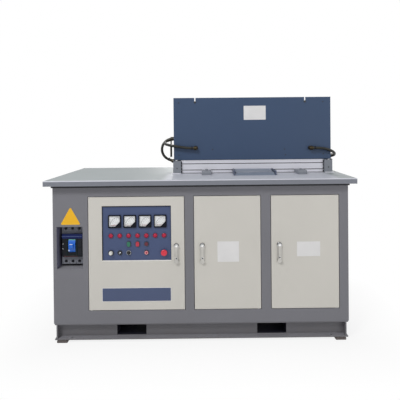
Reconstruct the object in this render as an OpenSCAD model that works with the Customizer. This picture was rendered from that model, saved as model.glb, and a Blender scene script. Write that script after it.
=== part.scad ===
// Induction heating machine: a steel power cabinet on a channel plinth, with a
// through-feed coil unit standing on its tabletop. The front faces -Y.

/* [Cabinet] */
// Width of the cabinet
cabinet_w = 1866; // [1846:10:1946]
// Depth of the cabinet
cabinet_d = 800; // [760:10:860]
// Height of the cabinet above the plinth
cabinet_h = 869; // [850:1:930]
// Thickness of the sheet steel
sheet = 2.5; // [2:0.5:3]
// Leg of the frame's angle bars
angle_leg = 30; // [25:1:35]
// Dark gap between the cabinet and the tabletop
shadow_gap = 6; // [4:1:10]

/* [Plinth] */
// Height of the foot pads
foot_h = 18; // [12:1:30]
// Side of a foot pad
foot_w = 66; // [50:1:80]
// Height of the plinth channels
plinth_h = 103; // [98:1:125]
// Width of the channel flanges
flange_w = 48; // [40:1:60]
// Thickness of the channel plate
channel_t = 8; // [6:1:10]
// Width of the plinth over its flanges
plinth_w = 1856; // [1836:10:1936]
// Clear width of a forklift pocket
pocket_w = 186; // [160:1:200]
// Clear height of a forklift pocket
pocket_h = 70; // [60:1:72]
// Distance of each pocket from the middle
pocket_x = 449; // [380:1:500]
// Wall of the pocket tubes
pocket_t = 5; // [4:1:6]
// Diameter of the anchor holes
anchor_d = 14; // [10:1:18]

/* [Tabletop] */
// Width of the tabletop
table_w = 1950; // [1945:1:2060]
// Depth of the tabletop
table_d = 900; // [880:10:980]
// Thickness of the tabletop
table_t = 34; // [25:1:45]
// Radius along the tabletop's upper edges
table_r = 4; // [2:1:8]

/* [Doors] */
// Height of the rail over the doors
head_h = 70; // [60:1:100]
// Height of the rail under the doors
sill_h = 84; // [72:1:102]
// Width of the control door
control_door_w = 604; // [560:1:620]
// Width of the middle door
middle_door_w = 419; // [400:1:430]
// Width of the right door
right_door_w = 427; // [400:1:430]
// Width of the column left of the doors
left_column = 224; // [218:1:230]
// Width of the upright between the first two doors
upright_1 = 63; // [58:1:70]
// Width of the upright between the last two doors
upright_2 = 68; // [58:1:70]
// Gap round each door
door_gap = 3.5; // [3:0.1:5]
// Depth of a door's folded edge
door_t = 20; // [18:1:24]
// Thickness of the door sheet
door_sheet = 2; // [1.5:0.5:2.5]
// Radius of a hinge pin
pin_r = 4; // [3:0.5:5]
// Distance of the hinge axis from the door's edge
hinge_in = 14; // [12:1:18]
// Distance of the hinge axis behind the door's face
hinge_back = 8; // [8:0.5:10]

/* [Locks] */
// Height of a lock plate
lock_h = 134; // [120:1:150]
// Width of a lock plate
lock_w = 30; // [26:1:34]
// Distance of the locks from the doors' closing edges
lock_in = 50; // [46:1:54]
// Height of the lock plates' middle as a share of the doors' height
lock_share = 0.4965; // [0.45:0.0005:0.55]
// Radius of a lock spindle
spindle_r = 8; // [6:0.5:10]

/* [Breaker] */
// Width of the breaker recess
recess_w = 164; // [154:1:170]
// Height of the breaker recess
recess_h = 267; // [262:1:300]
// Depth of the breaker recess
recess_d = 118; // [110:1:140]
// Distance of the recess below the cabinet's upper edge
recess_down = 256; // [220:1:300]
// Width of the breaker
breaker_w = 130; // [120:1:140]
// Height of the breaker with its terminals
breaker_h = 246; // [236:1:256]
// Depth of the breaker
breaker_d = 88; // [80:1:95]

/* [Control panel] */
// Width of the blue panel
panel_w = 437; // [428:1:440]
// Height of the blue panel
panel_h = 350; // [340:1:360]
// Depth of the panel behind the door's face
panel_recess = 9; // [6:0.5:12]
// Side of a square meter
meter_w = 80; // [72:1:84]
// Distance between meters
meter_pitch = 96; // [90:1:98]
// Distance between lamps and between buttons
lamp_pitch = 56; // [48:1:58]
// Radius of a lamp's bezel
bezel_r = 15; // [14:0.5:16]
// Travel of a push button
button_travel = 3.5; // [2:0.5:4]
// Radius of the emergency stop's mushroom head
mushroom_r = 20; // [16:1:22]

/* [Coil unit] */
// Place of the coil unit right of the middle
station_x = 366; // [340:1:390]
// Distance of the bed's back from the cabinet's rear
bed_in = 110; // [100:1:120]
// Length of the bed between its end blocks
bed_l = 1012; // [1000:1:1030]
// Depth of the bed
bed_d = 350; // [345:1:370]
// Height of the bed
bed_h = 88; // [80:1:100]
// Width of an end block
end_block_w = 55; // [46:1:60]
// Height of an end block
end_block_h = 91; // [88:1:110]
// Width of the front panel
shield_w = 1114; // [1100:1:1130]
// Height of the front panel
shield_h = 440; // [425:1:460]
// Thickness of the front panel
shield_t = 3; // [2:0.5:5]
// Height of the coil's end plates
end_plate_h = 424; // [400:1:430]
// Thickness of the coil's end plates
end_plate_t = 20; // [15:1:25]
// Number of turns of the coil
coil_turns = 23.5; // [15.5:1:23.5]
// Distance between the coil's turns
coil_pitch = 32; // [26:1:34]
// Radius of the coil's copper tube
coil_tube_r = 11; // [8:0.5:12]
// Radius of the lining's bore
throat_r = 45; // [35:1:50]
// Wall of the lining
lining_t = 30; // [20:1:32]
// Radius of the rubber hoses
hose_r = 9.5; // [8:0.5:9.5]

/* [Hidden] */
$fn = 48;

// Overrun of every cut
cut = 1;
// Clearance of pieces that turn or slide in each other
fit = 0.08;
// Clearance of pieces that lie beside each other
clear = 0.3;

// Colours
grey = [0.47, 0.47, 0.48];
cream = [0.76, 0.75, 0.72];
navy = [0.25, 0.32, 0.41];
panel_blue = [0.30, 0.36, 0.46];
black = [0.08, 0.08, 0.09];
steel = [0.72, 0.73, 0.75];
copper = [0.78, 0.45, 0.30];

// Main planes of the machine
front_y = -cabinet_d / 2;
rear_y = cabinet_d / 2;
left_x = -cabinet_w / 2;
right_x = cabinet_w / 2;
base_z = foot_h + plinth_h;
top_z = base_z + cabinet_h;
table_z = top_z + shadow_gap;
work_z = table_z + table_t;
bed_y = rear_y - bed_in - bed_d;

// Flat outlines
module rounded(w, h, r) {
    square([w - 2 * r, h], center = true);
    square([w, h - 2 * r], center = true);
    for (sx = [-1, 1], sz = [-1, 1])
        translate([sx * (w / 2 - r), sz * (h / 2 - r)]) circle(r);
}

module stadium(w, h) {
    square([w, h - w], center = true);
    for (s = [-1, 1]) translate([0, s * (h - w) / 2]) circle(w / 2);
}

module ring2d(w, h, t) {
    difference() {
        square([w, h], center = true);
        square([w - 2 * t, h - 2 * t], center = true);
    }
}

module angle2d(leg, t) {
    square([leg, t]);
    square([t, leg]);
}

// An outline in X and Z, made t thick towards the front from y_back
module upright(y_back, t) {
    translate([0, y_back, 0]) rotate([90, 0, 0]) linear_extrude(t) children();
}

// An outline in Y and Z, made l long from x0
module along(x0, l) {
    translate([x0, 0, 0]) rotate([90, 0, 90]) linear_extrude(l) children();
}

module block(x, y, z, w, d, h) {
    translate([x, y, z]) cube([w, d, h]);
}

// A round pin from y_back towards the front
module peg(x, z, y_back, l, r) {
    translate([x, y_back, z]) rotate([90, 0, 0]) cylinder(h = l, r = r);
}

// A round rod between two points
module rod(a, b, r) {
    d = b - a;
    l = norm(d);
    translate(a) rotate([0, acos(d[2] / l), atan2(d[1], d[0])]) cylinder(h = l, r = r);
}

module both_sides() {
    children();
    mirror([1, 0, 0]) children();
}

module front_and_rear() {
    children();
    mirror([0, 1, 0]) children();
}

// Plinth
foot_edge = 12;
foot_plate_h = foot_h / 3;
foot_step = 3;
foot_x = plinth_w / 2 - foot_edge - foot_w / 2;
foot_y = cabinet_d / 2 - flange_w / 2 - channel_t;
anchor_edge = 103;
anchor_x = plinth_w / 2 - anchor_edge;
plinth_left_x = -plinth_w / 2;
corner_in = 10;
anchor_y = cabinet_d / 2 - (flange_w - channel_t) / 2;

module channel2d() {
    difference() {
        translate([0, foot_h]) square([flange_w, plinth_h]);
        translate([-cut, foot_h + channel_t])
            square([flange_w - channel_t + cut, plinth_h - 2 * channel_t]);
    }
}

module pocket_solid(grow, over) {
    run = cabinet_d - 2 * (flange_w - channel_t);
    block(pocket_x - pocket_w / 2 - grow, -run / 2 - over, foot_h + channel_t + pocket_t - grow,
        pocket_w + 2 * grow, run + 2 * over, pocket_h + 2 * grow);
}

module plinth_frame() {
    color(grey) {
        difference() {
            union() {
                front_and_rear() translate([0, front_y, 0]) along(plinth_left_x, plinth_w) channel2d();
                both_sides() translate([plinth_left_x, 0, 0])
                    upright(rear_y - flange_w, cabinet_d - 2 * flange_w) channel2d();
                both_sides() front_and_rear()
                    block(plinth_left_x + corner_in, front_y, foot_h, channel_t, flange_w, plinth_h);
            }
            both_sides() pocket_solid(pocket_t, 0);
            both_sides() front_and_rear()
                translate([anchor_x, anchor_y, foot_h - cut]) cylinder(h = channel_t + 2 * cut, d = anchor_d);
        }
        both_sides() difference() {
            pocket_solid(pocket_t, 0);
            pocket_solid(0, cut);
        }
    }
}

module plinth_feet() {
    color([0.33, 0.31, 0.30])
    both_sides() front_and_rear() translate([foot_x, foot_y, 0]) {
        linear_extrude(foot_h - foot_plate_h) rounded(foot_w, foot_w, foot_step);
        translate([0, 0, foot_h - foot_plate_h])
            linear_extrude(foot_plate_h) rounded(foot_w - 2 * foot_step, foot_w - 2 * foot_step, foot_step);
    }
}

// Doors and their openings
door_z = base_z + sill_h;
door_h = cabinet_h - sill_h - head_h;
door_w = [control_door_w, middle_door_w, right_door_w];
door_x = [
    left_x + left_column,
    left_x + left_column + control_door_w + upright_1,
    left_x + left_column + control_door_w + upright_1 + middle_door_w + upright_2,
];
// Side of each door that the hinge is on, -1 for the left
hinge_side = [-1, 1, 1];
land_w = 12;
land_gap = 9;
land_y = front_y + door_t + land_gap;
fold_w = 40;
bush_r = hinge_back - door_sheet;
bush_l = 14;
pin_head_r = hinge_back - sheet - clear;
washer_r = bush_r + 1;
pin_head_h = 3;
frame_t = 3;
ring_in = 10;
partition_t = 2;
partition_x = [door_x[1] - upright_1 / 2, door_x[2] - upright_2 / 2];
floor_t = 3;
floor_z = base_z + angle_leg + floor_t;

function hinge_x(i) = hinge_side[i] < 0 ? door_x[i] + hinge_in : door_x[i] + door_w[i] - hinge_in;
hinge_y = front_y + hinge_back;

// Centre of a door's outline
module at_door(i) {
    translate([door_x[i] + door_w[i] / 2, door_z + door_h / 2]) children();
}

module opening2d(i, grow) {
    at_door(i) square([door_w[i] + 2 * grow, door_h + 2 * grow], center = true);
}

// Breaker recess
recess_in = 23;
recess_x = left_x + recess_in;
recess_z = top_z - recess_down - recess_h;
recess_mid_x = recess_x + recess_w / 2;
recess_mid_z = recess_z + recess_h / 2;

module recess2d(grow) {
    translate([recess_mid_x, recess_mid_z])
        square([recess_w + 2 * grow, recess_h + 2 * grow], center = true);
}

module frame_rails() {
    // Angle bars along the top and bottom edges, and the rear corner posts
    for (top = [0, 1]) {
        z = top == 1 ? top_z : base_z;
        front_and_rear() translate([0, front_y + sheet, z]) mirror([0, 0, top])
            along(left_x + sheet, cabinet_w - 2 * sheet) angle2d(angle_leg, frame_t);
        both_sides() translate([left_x + sheet, 0, z]) mirror([0, 0, top])
            upright(rear_y - sheet, cabinet_d - 2 * sheet) angle2d(angle_leg, frame_t);
    }
    both_sides() translate([left_x + sheet, rear_y - sheet, base_z]) mirror([0, 1, 0])
        linear_extrude(cabinet_h) angle2d(angle_leg, frame_t);
}

module cabinet_frame() {
    color(grey) difference() {
        union() {
            upright(front_y + sheet, sheet) difference() {
                translate([left_x, base_z]) square([cabinet_w, cabinet_h]);
                for (i = [0:2]) opening2d(i, door_gap);
                recess2d(0);
            }
            both_sides() block(left_x + sheet, front_y + sheet, base_z, sheet, fold_w, cabinet_h);
            for (i = [0:2]) {
                upright(land_y, land_y - front_y) difference() {
                    opening2d(i, door_gap + sheet);
                    opening2d(i, door_gap);
                }
                upright(land_y + sheet, sheet) difference() {
                    opening2d(i, door_gap + sheet);
                    opening2d(i, door_gap - land_w);
                }
            }
            frame_rails();
            translate([0, 0, top_z]) linear_extrude(shadow_gap)
                ring2d(cabinet_w - 2 * ring_in, cabinet_d - 2 * ring_in, angle_leg);
        }
        for (i = [0:2]) translate([hinge_x(i), hinge_y, door_z - door_gap - sheet - cut])
            cylinder(h = door_h + 2 * (door_gap + sheet + cut), r = pin_r + fit);
    }
}

// Louvres: a row of slots, each under a sloping hood
louvre_w = 150;
louvre_slot = 7;
louvre_pitch = 26;
louvre_out = 9;
louvre_count = 8;
louvre_t = 1.5;
louvre_edge = 60;

module louvre_slots(t) {
    for (k = [0:louvre_count - 1])
        translate([-louvre_w / 2, -cut, k * louvre_pitch]) cube([louvre_w, t + 2 * cut, louvre_slot]);
}

module louvre_hoods() {
    for (k = [0:louvre_count - 1]) translate([0, 0, k * louvre_pitch]) {
        difference() {
            along(-louvre_w / 2 - louvre_t, louvre_w + 2 * louvre_t)
                polygon([[0, 0], [-louvre_out, 0], [0, louvre_slot + louvre_out]]);
            along(-louvre_w / 2, louvre_w)
                polygon([[0, -cut], [-louvre_out + louvre_t, -cut], [-louvre_out + louvre_t, 0],
                    [0, louvre_slot + louvre_out - 2 * louvre_t]]);
        }
    }
}

// Places of the louvre banks on a side panel, in Y and Z
louvre_bank_h = (louvre_count - 1) * louvre_pitch + louvre_slot + louvre_out;
louvre_low_z = base_z + louvre_edge;
louvre_high_z = top_z - louvre_edge - louvre_bank_h;
side_bank_y = rear_y - louvre_edge - louvre_w / 2;

module side_panel() {
    difference() {
        block(left_x, front_y + sheet, base_z, sheet, cabinet_d - 2 * sheet, cabinet_h);
        for (z = [louvre_low_z, louvre_high_z])
            translate([left_x, side_bank_y, z]) rotate([0, 0, -90]) louvre_slots(sheet);
    }
    for (z = [louvre_low_z, louvre_high_z])
        translate([left_x, side_bank_y, z]) rotate([0, 0, -90]) louvre_hoods();
}

module side_panels() {
    color(grey) both_sides() side_panel();
}

// Openings in the rear panel
cable_r = 25;
cable_edge = 158;
cable_x = left_x + cable_edge;
port_r = 17;
port_pitch = 90;
port_up = 102;
port_edge = 208;
port_z = base_z + port_up;
port_x = right_x - port_edge;
rear_bank_x = [-cabinet_w / 3, 0, cabinet_w / 3];

module rear_panel() {
    color(grey) {
        difference() {
            block(left_x, rear_y - sheet, base_z, cabinet_w, sheet, cabinet_h);
            for (x = rear_bank_x) translate([x, rear_y, louvre_high_z])
                rotate([0, 0, 180]) louvre_slots(sheet);
            peg(cable_x, port_z, rear_y + cut, sheet + 2 * cut, cable_r);
            for (x = [port_x, port_x + port_pitch])
                peg(x, port_z, rear_y + cut, sheet + 2 * cut, port_r + fit);
        }
        for (x = rear_bank_x) translate([x, rear_y, louvre_high_z]) rotate([0, 0, 180]) louvre_hoods();
    }
}

module cabinet_floor() {
    inner_w = cabinet_w - 4 * sheet - 2 * clear;
    inner_d = cabinet_d - 2 * sheet - 2 * clear;
    corner = angle_leg + clear;
    color([0.62, 0.63, 0.65]) {
        difference() {
            block(-inner_w / 2, -inner_d / 2, floor_z - floor_t, inner_w, inner_d, floor_t);
            both_sides() block(left_x, rear_y - sheet - corner, floor_z - floor_t - cut,
                corner + sheet, corner + sheet, floor_t + 2 * cut);
        }
        for (x = partition_x) block(x - partition_t / 2, land_y + sheet + clear, floor_z, partition_t,
            rear_y - 2 * sheet - land_y - angle_leg, top_z - angle_leg - clear - floor_z);
    }
}

// Tabletop
slot_clear = 8;
bus_w = 60;
bus_t = 10;
bus_in = 55;
bus_y = rear_y - bus_in;
coil_l = coil_turns * coil_pitch;
bus_x = [station_x - coil_l / 2, station_x + coil_l / 2];

module edge2d(w) {
    // Slab section with rounded upper corners
    translate([-w / 2, table_z]) square([w, table_t - table_r]);
    translate([-w / 2 + table_r, table_z]) square([w - 2 * table_r, table_t]);
    for (s = [-1, 1]) translate([s * (w / 2 - table_r), work_z - table_r]) circle(table_r);
}

module tabletop() {
    color([0.70, 0.74, 0.74]) difference() {
        intersection() {
            along(-table_w / 2, table_w) edge2d(table_d);
            upright(table_d / 2, table_d) edge2d(table_w);
        }
        for (x = bus_x) block(x - bus_w / 2 - slot_clear, bus_y - slot_clear, table_z - cut,
            bus_w + 2 * slot_clear, bus_t + 2 * slot_clear, table_t + 2 * cut);
    }
}

// Breaker
recess_t = 2;
recess_back_y = front_y + sheet + recess_d;
breaker_right = 7;
breaker_up = 6.5;
breaker_x = recess_mid_x + breaker_right;
breaker_z = recess_mid_z + breaker_up;
breaker_front_y = recess_back_y - breaker_d;
breaker_face_h = 144;
breaker_step = 24;
breaker_r = 3;
breaker_lip = 5;
toggle_slot_w = 44;
toggle_slot_h = 84;
toggle_axis = 80;
toggle_wall = 4;
toggle_swing = 9;
toggle_shell = 4;
toggle_grip_w = 24;
toggle_grip_h = 18;
toggle_out = 22;
toggle_arm_t = 3;
toggle_hub_r = 5;
toggle_pin_r = 2.5;
toggle_pin_over = 6;
recess_flange = 12;
toggle_y = breaker_front_y + toggle_axis;
toggle_r = sqrt(pow(toggle_slot_h / 2, 2) + pow(toggle_axis - toggle_wall - clear, 2));
toggle_half = asin(toggle_slot_h / 2 / toggle_r) + toggle_swing;
toggle_room_h = 2 * toggle_r * sin(toggle_half + toggle_swing) + 2 * clear;
toggle_left = 3;
toggle_x = breaker_x - toggle_left;
terminal_pitch = 43;
terminal_left = 5;
terminal_x = breaker_x - terminal_left;
terminal_r = 7;
terminal_in = 17;
terminal_up = breaker_h / 2 - terminal_in;
terminal_depth = 12;
terminal_lip = 3;

module breaker_recess() {
    color([0.66, 0.67, 0.69]) {
        difference() {
            upright(recess_back_y + recess_t, recess_d + recess_t) recess2d(recess_t);
            upright(recess_back_y, recess_d + cut) recess2d(0);
        }
        upright(front_y + sheet + recess_t, recess_t) difference() {
            recess2d(recess_flange);
            recess2d(0);
        }
    }
}

module breaker_case() {
    color(black) difference() {
        union() {
            upright(recess_back_y, breaker_d) translate([breaker_x, breaker_z])
                rounded(breaker_w, breaker_face_h, breaker_r);
            upright(recess_back_y, breaker_d - breaker_step) translate([terminal_x, breaker_z])
                rounded(breaker_w + 2 * breaker_lip, breaker_h, breaker_r);
        }
        upright(breaker_front_y + toggle_wall + cut, toggle_wall + 2 * cut)
            translate([toggle_x, breaker_z]) square([toggle_slot_w, toggle_slot_h], center = true);
        upright(toggle_y, toggle_axis - toggle_wall)
            translate([toggle_x, breaker_z]) square([toggle_slot_w, toggle_room_h], center = true);
        along(toggle_x - toggle_slot_w / 2, toggle_slot_w)
            translate([toggle_y, breaker_z]) circle(toggle_hub_r + clear);
        along(toggle_x - toggle_slot_w / 2 - toggle_pin_over, toggle_slot_w + 2 * toggle_pin_over)
            translate([toggle_y, breaker_z]) circle(toggle_pin_r + fit);
        for (s = [-1, 1], k = [-1, 0, 1]) {
            peg(terminal_x + k * terminal_pitch, breaker_z + s * terminal_up,
                breaker_front_y + breaker_step + terminal_depth, terminal_depth + cut,
                terminal_r + terminal_lip);
        }
        // Barriers between the phases
        for (s = [-1, 1], k = [-1, 1]) upright(breaker_front_y + 2 * breaker_step, breaker_step + cut)
            translate([terminal_x + k * terminal_pitch / 2, breaker_z + s * (breaker_h / 2 - terminal_r)])
                square([recess_t, 2 * terminal_r + cut], center = true);
    }
}

module breaker_terminals() {
    color(steel) for (s = [-1, 1], k = [-1, 0, 1]) {
        x = terminal_x + k * terminal_pitch;
        z = breaker_z + s * terminal_up;
        y = breaker_front_y + breaker_step + terminal_depth;
        difference() {
            peg(x, z, y, terminal_depth / 2, terminal_r);
            peg(x, z, y - terminal_depth / 4, terminal_depth, terminal_r / 2);
        }
    }
}

module breaker_toggle() {
    w = toggle_slot_w - 2 * clear;
    color([0.12, 0.47, 0.90]) {
        intersection() {
            along(toggle_x - w / 2, w) translate([toggle_y, breaker_z]) difference() {
                circle(toggle_r);
                circle(toggle_r - toggle_shell);
            }
            along(toggle_x - w / 2, w) translate([toggle_y, breaker_z]) polygon([
                [0, 0], [-2 * toggle_r * cos(toggle_half), -2 * toggle_r * sin(toggle_half)],
                [-2 * toggle_r * cos(toggle_half), 2 * toggle_r * sin(toggle_half)]]);
        }
        block(toggle_x - toggle_grip_w / 2, breaker_front_y - toggle_out, breaker_z - toggle_grip_h / 2,
            toggle_grip_w, toggle_out - toggle_r + toggle_axis + toggle_shell / 2, toggle_grip_h);
        for (x = [-w / 2, w / 2 - toggle_arm_t]) along(toggle_x + x, toggle_arm_t)
            translate([toggle_y, breaker_z]) {
                circle(toggle_hub_r);
                translate([-toggle_r + toggle_shell / 2, -toggle_hub_r])
                    square([toggle_r - toggle_shell / 2, 2 * toggle_hub_r]);
            }
        along(toggle_x - w / 2 - toggle_pin_over, w + 2 * toggle_pin_over)
            translate([toggle_y, breaker_z]) circle(toggle_pin_r);
    }
}

// Door leaves
module door_leaf(i) {
    bush_x = hinge_x(i);
    difference() {
        union() {
            upright(front_y + door_sheet, door_sheet) opening2d(i, 0);
            upright(front_y + door_t, door_t) difference() {
                opening2d(i, 0);
                opening2d(i, -door_sheet);
            }
            upright(front_y + door_t, door_sheet) difference() {
                opening2d(i, 0);
                opening2d(i, -land_w);
            }
            for (z = [door_z, door_z + door_h - bush_l]) translate([bush_x, hinge_y, z])
                cylinder(h = bush_l, r = bush_r);
        }
        translate([bush_x, hinge_y, door_z - cut]) cylinder(h = door_h + 2 * cut, r = pin_r + fit);
        peg(lock_x(i), spindle_z, front_y + 2 * door_sheet, 2 * door_sheet + cut, sleeve_r + fit);
    }
}

module control_door() {
    color(cream) difference() {
        union() {
            door_leaf(0);
            upright(front_y + panel_recess, panel_recess) at_panel()
                square([panel_w + 2 * door_sheet, panel_h + 2 * door_sheet], center = true);
        }
        upright(front_y + panel_recess + cut, panel_recess + 2 * cut) at_panel()
            square([panel_w, panel_h], center = true);
    }
}

module middle_door() {
    color(cream) door_leaf(1);
}

module right_door() {
    color(cream) door_leaf(2);
}

module hinge_pins() {
    washer_h = door_gap - clear;
    color(steel) for (i = [0:2]) translate([hinge_x(i), hinge_y, 0]) {
        top = door_z + door_h;
        translate([0, 0, top - bush_l]) cylinder(h = bush_l + door_gap + sheet + pin_head_h, r = pin_r);
        translate([0, 0, top + door_gap + sheet]) cylinder(h = pin_head_h, r = pin_head_r);
        translate([0, 0, door_z - door_gap - sheet - pin_head_h])
            cylinder(h = bush_l + door_gap + sheet + pin_head_h, r = pin_r);
        translate([0, 0, door_z - door_gap - sheet - pin_head_h]) cylinder(h = pin_head_h, r = pin_head_r);
        translate([0, 0, door_z - door_gap]) cylinder(h = washer_h, r = washer_r);
    }
}

// Locks
function lock_x(i) = hinge_side[i] < 0 ? door_x[i] + door_w[i] - lock_in : door_x[i] + lock_in;
lock_z = door_z + lock_share * door_h;
lock_t = 5;
lock_rim = 2;
lock_boss_r = lock_w / 2 - lock_rim;
lock_boss_t = 3;
lever_t = 8;
lever_w = 16;
lever_foot = 26;
cheek_t = 3.5;
spindle_in = 17;
lever_gap = 0.5;
lever_in = 6;
spindle_z = lock_z + lock_h / 2 - spindle_in;
lever_y = front_y - lock_t - clear - lock_boss_t - lever_t / 2 - lever_gap;
lever_l = spindle_z - lock_z + lock_h / 2 - lever_in;
lever_pin_r = 2.5;
key_r = 4.5;
key_depth = 3;
key_up = 30;
sleeve_r = 12;
nut_across = 34;
lock_nut_h = 6;
tongue_w = 18;
tongue_l = 58;
tongue_t = 4;
tongue_gap = 2;
tongue_y = land_y + sheet + tongue_gap;

module lock_base(i) {
    sleeve_l = land_y - front_y - 2 * door_sheet;
    color(steel) {
        difference() {
            union() {
                upright(front_y, lock_t) translate([lock_x(i), lock_z])
                    rounded(lock_w, lock_h, lock_w / 2 - cut);
                peg(lock_x(i), spindle_z, front_y + sleeve_l, sleeve_l + lock_t / 2, sleeve_r);
            }
            peg(lock_x(i), spindle_z, front_y + sleeve_l + cut, sleeve_l + lock_t + 2 * cut, spindle_r + fit);
            // Dished hollow behind the lever, for the fingers
            upright(front_y - lock_t / 2, lock_t) translate([lock_x(i), lock_z - lock_w / 2])
                stadium(lever_w, lock_h - 2 * lock_w);
        }
        difference() {
            translate([lock_x(i), front_y + door_sheet + lock_nut_h, spindle_z]) rotate([90, 0, 0])
                cylinder(h = lock_nut_h, r = nut_across / 2, $fn = 6);
            peg(lock_x(i), spindle_z, front_y + door_sheet + lock_nut_h + cut, lock_nut_h + 2 * cut,
                sleeve_r + fit);
        }
    }
}

module lock_spindle(i) {
    y0 = front_y - lock_t - clear;
    cheek_x = lever_w / 2 + clear;
    color(steel) translate([lock_x(i), 0, spindle_z]) {
        peg(0, 0, tongue_y + tongue_t, tongue_y + tongue_t - y0, spindle_r);
        peg(0, 0, y0, lock_boss_t, lock_boss_r);
        difference() {
            peg(0, 0, y0, y0 - lever_y + lever_t / 2, lock_boss_r);
            block(-cheek_x, lever_y - lever_t, -lock_boss_r - cut, 2 * cheek_x,
                y0 - lock_boss_t - lever_y + lever_t, 2 * (lock_boss_r + cut));
        }
        along(-cheek_x - cheek_t / 2, 2 * cheek_x + cheek_t) translate([lever_y, 0]) circle(lever_pin_r);
        upright(tongue_y + tongue_t, tongue_t) translate([0, hinge_side[i] * (tongue_l - tongue_w) / 2])
            stadium(tongue_w, tongue_l);
    }
}

module lock_lever(i) {
    foot_half = lock_w / 2 - lock_rim / 2;
    color(steel) translate([lock_x(i), 0, spindle_z]) difference() {
        union() {
            along(-lever_w / 2, lever_w) translate([lever_y, 0]) {
                circle(lever_t / 2);
                translate([-lever_t / 2, -lever_l + lever_foot]) square([lever_t, lever_l - lever_foot]);
            }
            upright(lever_y + lever_t / 2, lever_t) polygon([
                [-lever_w / 2, -lock_boss_r], [-lever_w / 2, -lever_l + lever_foot],
                [-foot_half, -lever_l + lever_foot / 2], [-foot_half, -lever_l + lever_foot / 4],
                [-lever_w / 4, -lever_l], [lever_w / 4, -lever_l],
                [foot_half, -lever_l + lever_foot / 4], [foot_half, -lever_l + lever_foot / 2],
                [lever_w / 2, -lever_l + lever_foot], [lever_w / 2, -lock_boss_r]]);
        }
        along(-lever_w / 2 - cut, lever_w + 2 * cut) translate([lever_y, 0]) circle(lever_pin_r + fit);
        // Keyhole
        peg(0, -lever_l + key_up, lever_y - lever_t / 2 + key_depth, key_depth + cut, key_r);
    }
}

// Control panel and what it carries
panel_t = 3;
panel_lap = 10;
panel_in = 84.5;
panel_down = 57;
panel_x = door_x[0] + panel_in + panel_w / 2;
panel_z = door_z + door_h - panel_down - panel_h / 2;
panel_y = front_y + panel_recess;
// Heights of the rows of instruments from the panel's middle
meter_up = 76.5;
lamp_down = 14;
button_down = 67.5;
knob_down = 122;
dial_right = 5;
row_x = panel_x + dial_right;
meter_row = panel_z + meter_up;
lamp_row = panel_z - lamp_down;
button_row = panel_z - button_down;
knob_row = panel_z - knob_down;
meter_x = [for (k = [-1.5:1:1.5]) row_x + k * meter_pitch];
function lamp_x(k) = row_x + k * lamp_pitch;
shell_r = 11;
shell_l = 40;
collar_h = 6;
meter_r = 4;
meter_t = 10;
meter_wall = 4;
meter_lip = 6;
meter_front = 1.6;
meter_floor = 2;
barrel_r = 32;
barrel_l = 46;
corner_w = 31;
corner_h = 33;
opening_up = 1.5;
dial_t = 1;
window_t = 2;
needle_t = 0.8;
needle_l = 52;
needle_w = 2.4;
needle_tail = 8;
hub_r = 3.5;
pivot_r = 1.2;
pivot_in = 12;

module at_panel() {
    translate([panel_x, panel_z]) children();
}

// The cavity of a meter, between its floor and its front wall
meter_cavity = meter_w - 2 * meter_wall;
meter_floor_y = panel_y - meter_floor;
meter_front_y = panel_y - meter_t;
dial_y = meter_floor_y - dial_t;
window_back_y = meter_front_y + meter_front + window_t;
hub_back_y = dial_y - clear;
hub_l = hub_back_y - window_back_y - clear;
pivot_x = meter_cavity / 2 - pivot_in;
pivot_z = meter_row - meter_cavity / 2 + pivot_in;

module control_panel() {
    color(panel_blue) upright(panel_y + panel_t, panel_t) difference() {
        at_panel() square([panel_w + 2 * panel_lap, panel_h + 2 * panel_lap], center = true);
        for (x = meter_x) translate([x, meter_row]) circle(barrel_r + clear);
        for (k = [-3:3]) translate([lamp_x(k), lamp_row]) circle(shell_r + clear);
        for (k = [-1:1]) translate([lamp_x(k), button_row]) circle(shell_r + clear);
        for (k = [-3, -2, -1, 1, 3]) translate([lamp_x(k), knob_row]) circle(shell_r + clear);
    }
}

module meter_front2d(x) {
    opening = meter_w - 2 * meter_lip;
    translate([x, meter_row + opening_up]) difference() {
        square([opening, opening - 2 * opening_up], center = true);
        translate([opening / 2, -opening / 2])
            polygon([[cut, -cut], [cut, corner_h], [-corner_w, -cut]]);
    }
}

module meter_cases() {
    color(black) for (x = meter_x) difference() {
        union() {
            upright(panel_y, meter_t) translate([x, meter_row]) rounded(meter_w, meter_w, meter_r);
            peg(x, meter_row, panel_y + barrel_l, barrel_l, barrel_r);
        }
        upright(meter_floor_y, meter_floor_y - meter_front_y - meter_front)
            translate([x, meter_row]) square([meter_cavity, meter_cavity], center = true);
        upright(meter_front_y + 2 * meter_front, 3 * meter_front) meter_front2d(x);
    }
}

module meter_dials() {
    size = meter_cavity - 2 * clear;
    color([0.93, 0.93, 0.90]) for (x = meter_x) {
        upright(meter_floor_y, dial_t) translate([x, meter_row]) square([size, size], center = true);
        peg(x + pivot_x, pivot_z, dial_y, hub_l - needle_t, pivot_r);
    }
}

module meter_windows() {
    size = meter_cavity - 2 * clear;
    color([0.85, 0.90, 0.92]) for (x = meter_x)
        upright(window_back_y, window_t) translate([x, meter_row]) square([size, size], center = true);
}

module meter_needle(k) {
    color([0.75, 0.10, 0.10]) translate([meter_x[k] + pivot_x, 0, pivot_z]) difference() {
        union() {
            peg(0, 0, hub_back_y, hub_l, hub_r);
            upright(hub_back_y - needle_t, needle_t)
                polygon([[-needle_l, -needle_w / 4], [-needle_l, needle_w / 4], [0, needle_w / 2],
                    [needle_tail, needle_w / 2], [needle_tail, -needle_w / 2], [0, -needle_w / 2]]);
        }
        peg(0, 0, hub_back_y + cut, hub_l - clear - needle_t / 2 + cut, pivot_r + fit);
    }
}

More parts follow.
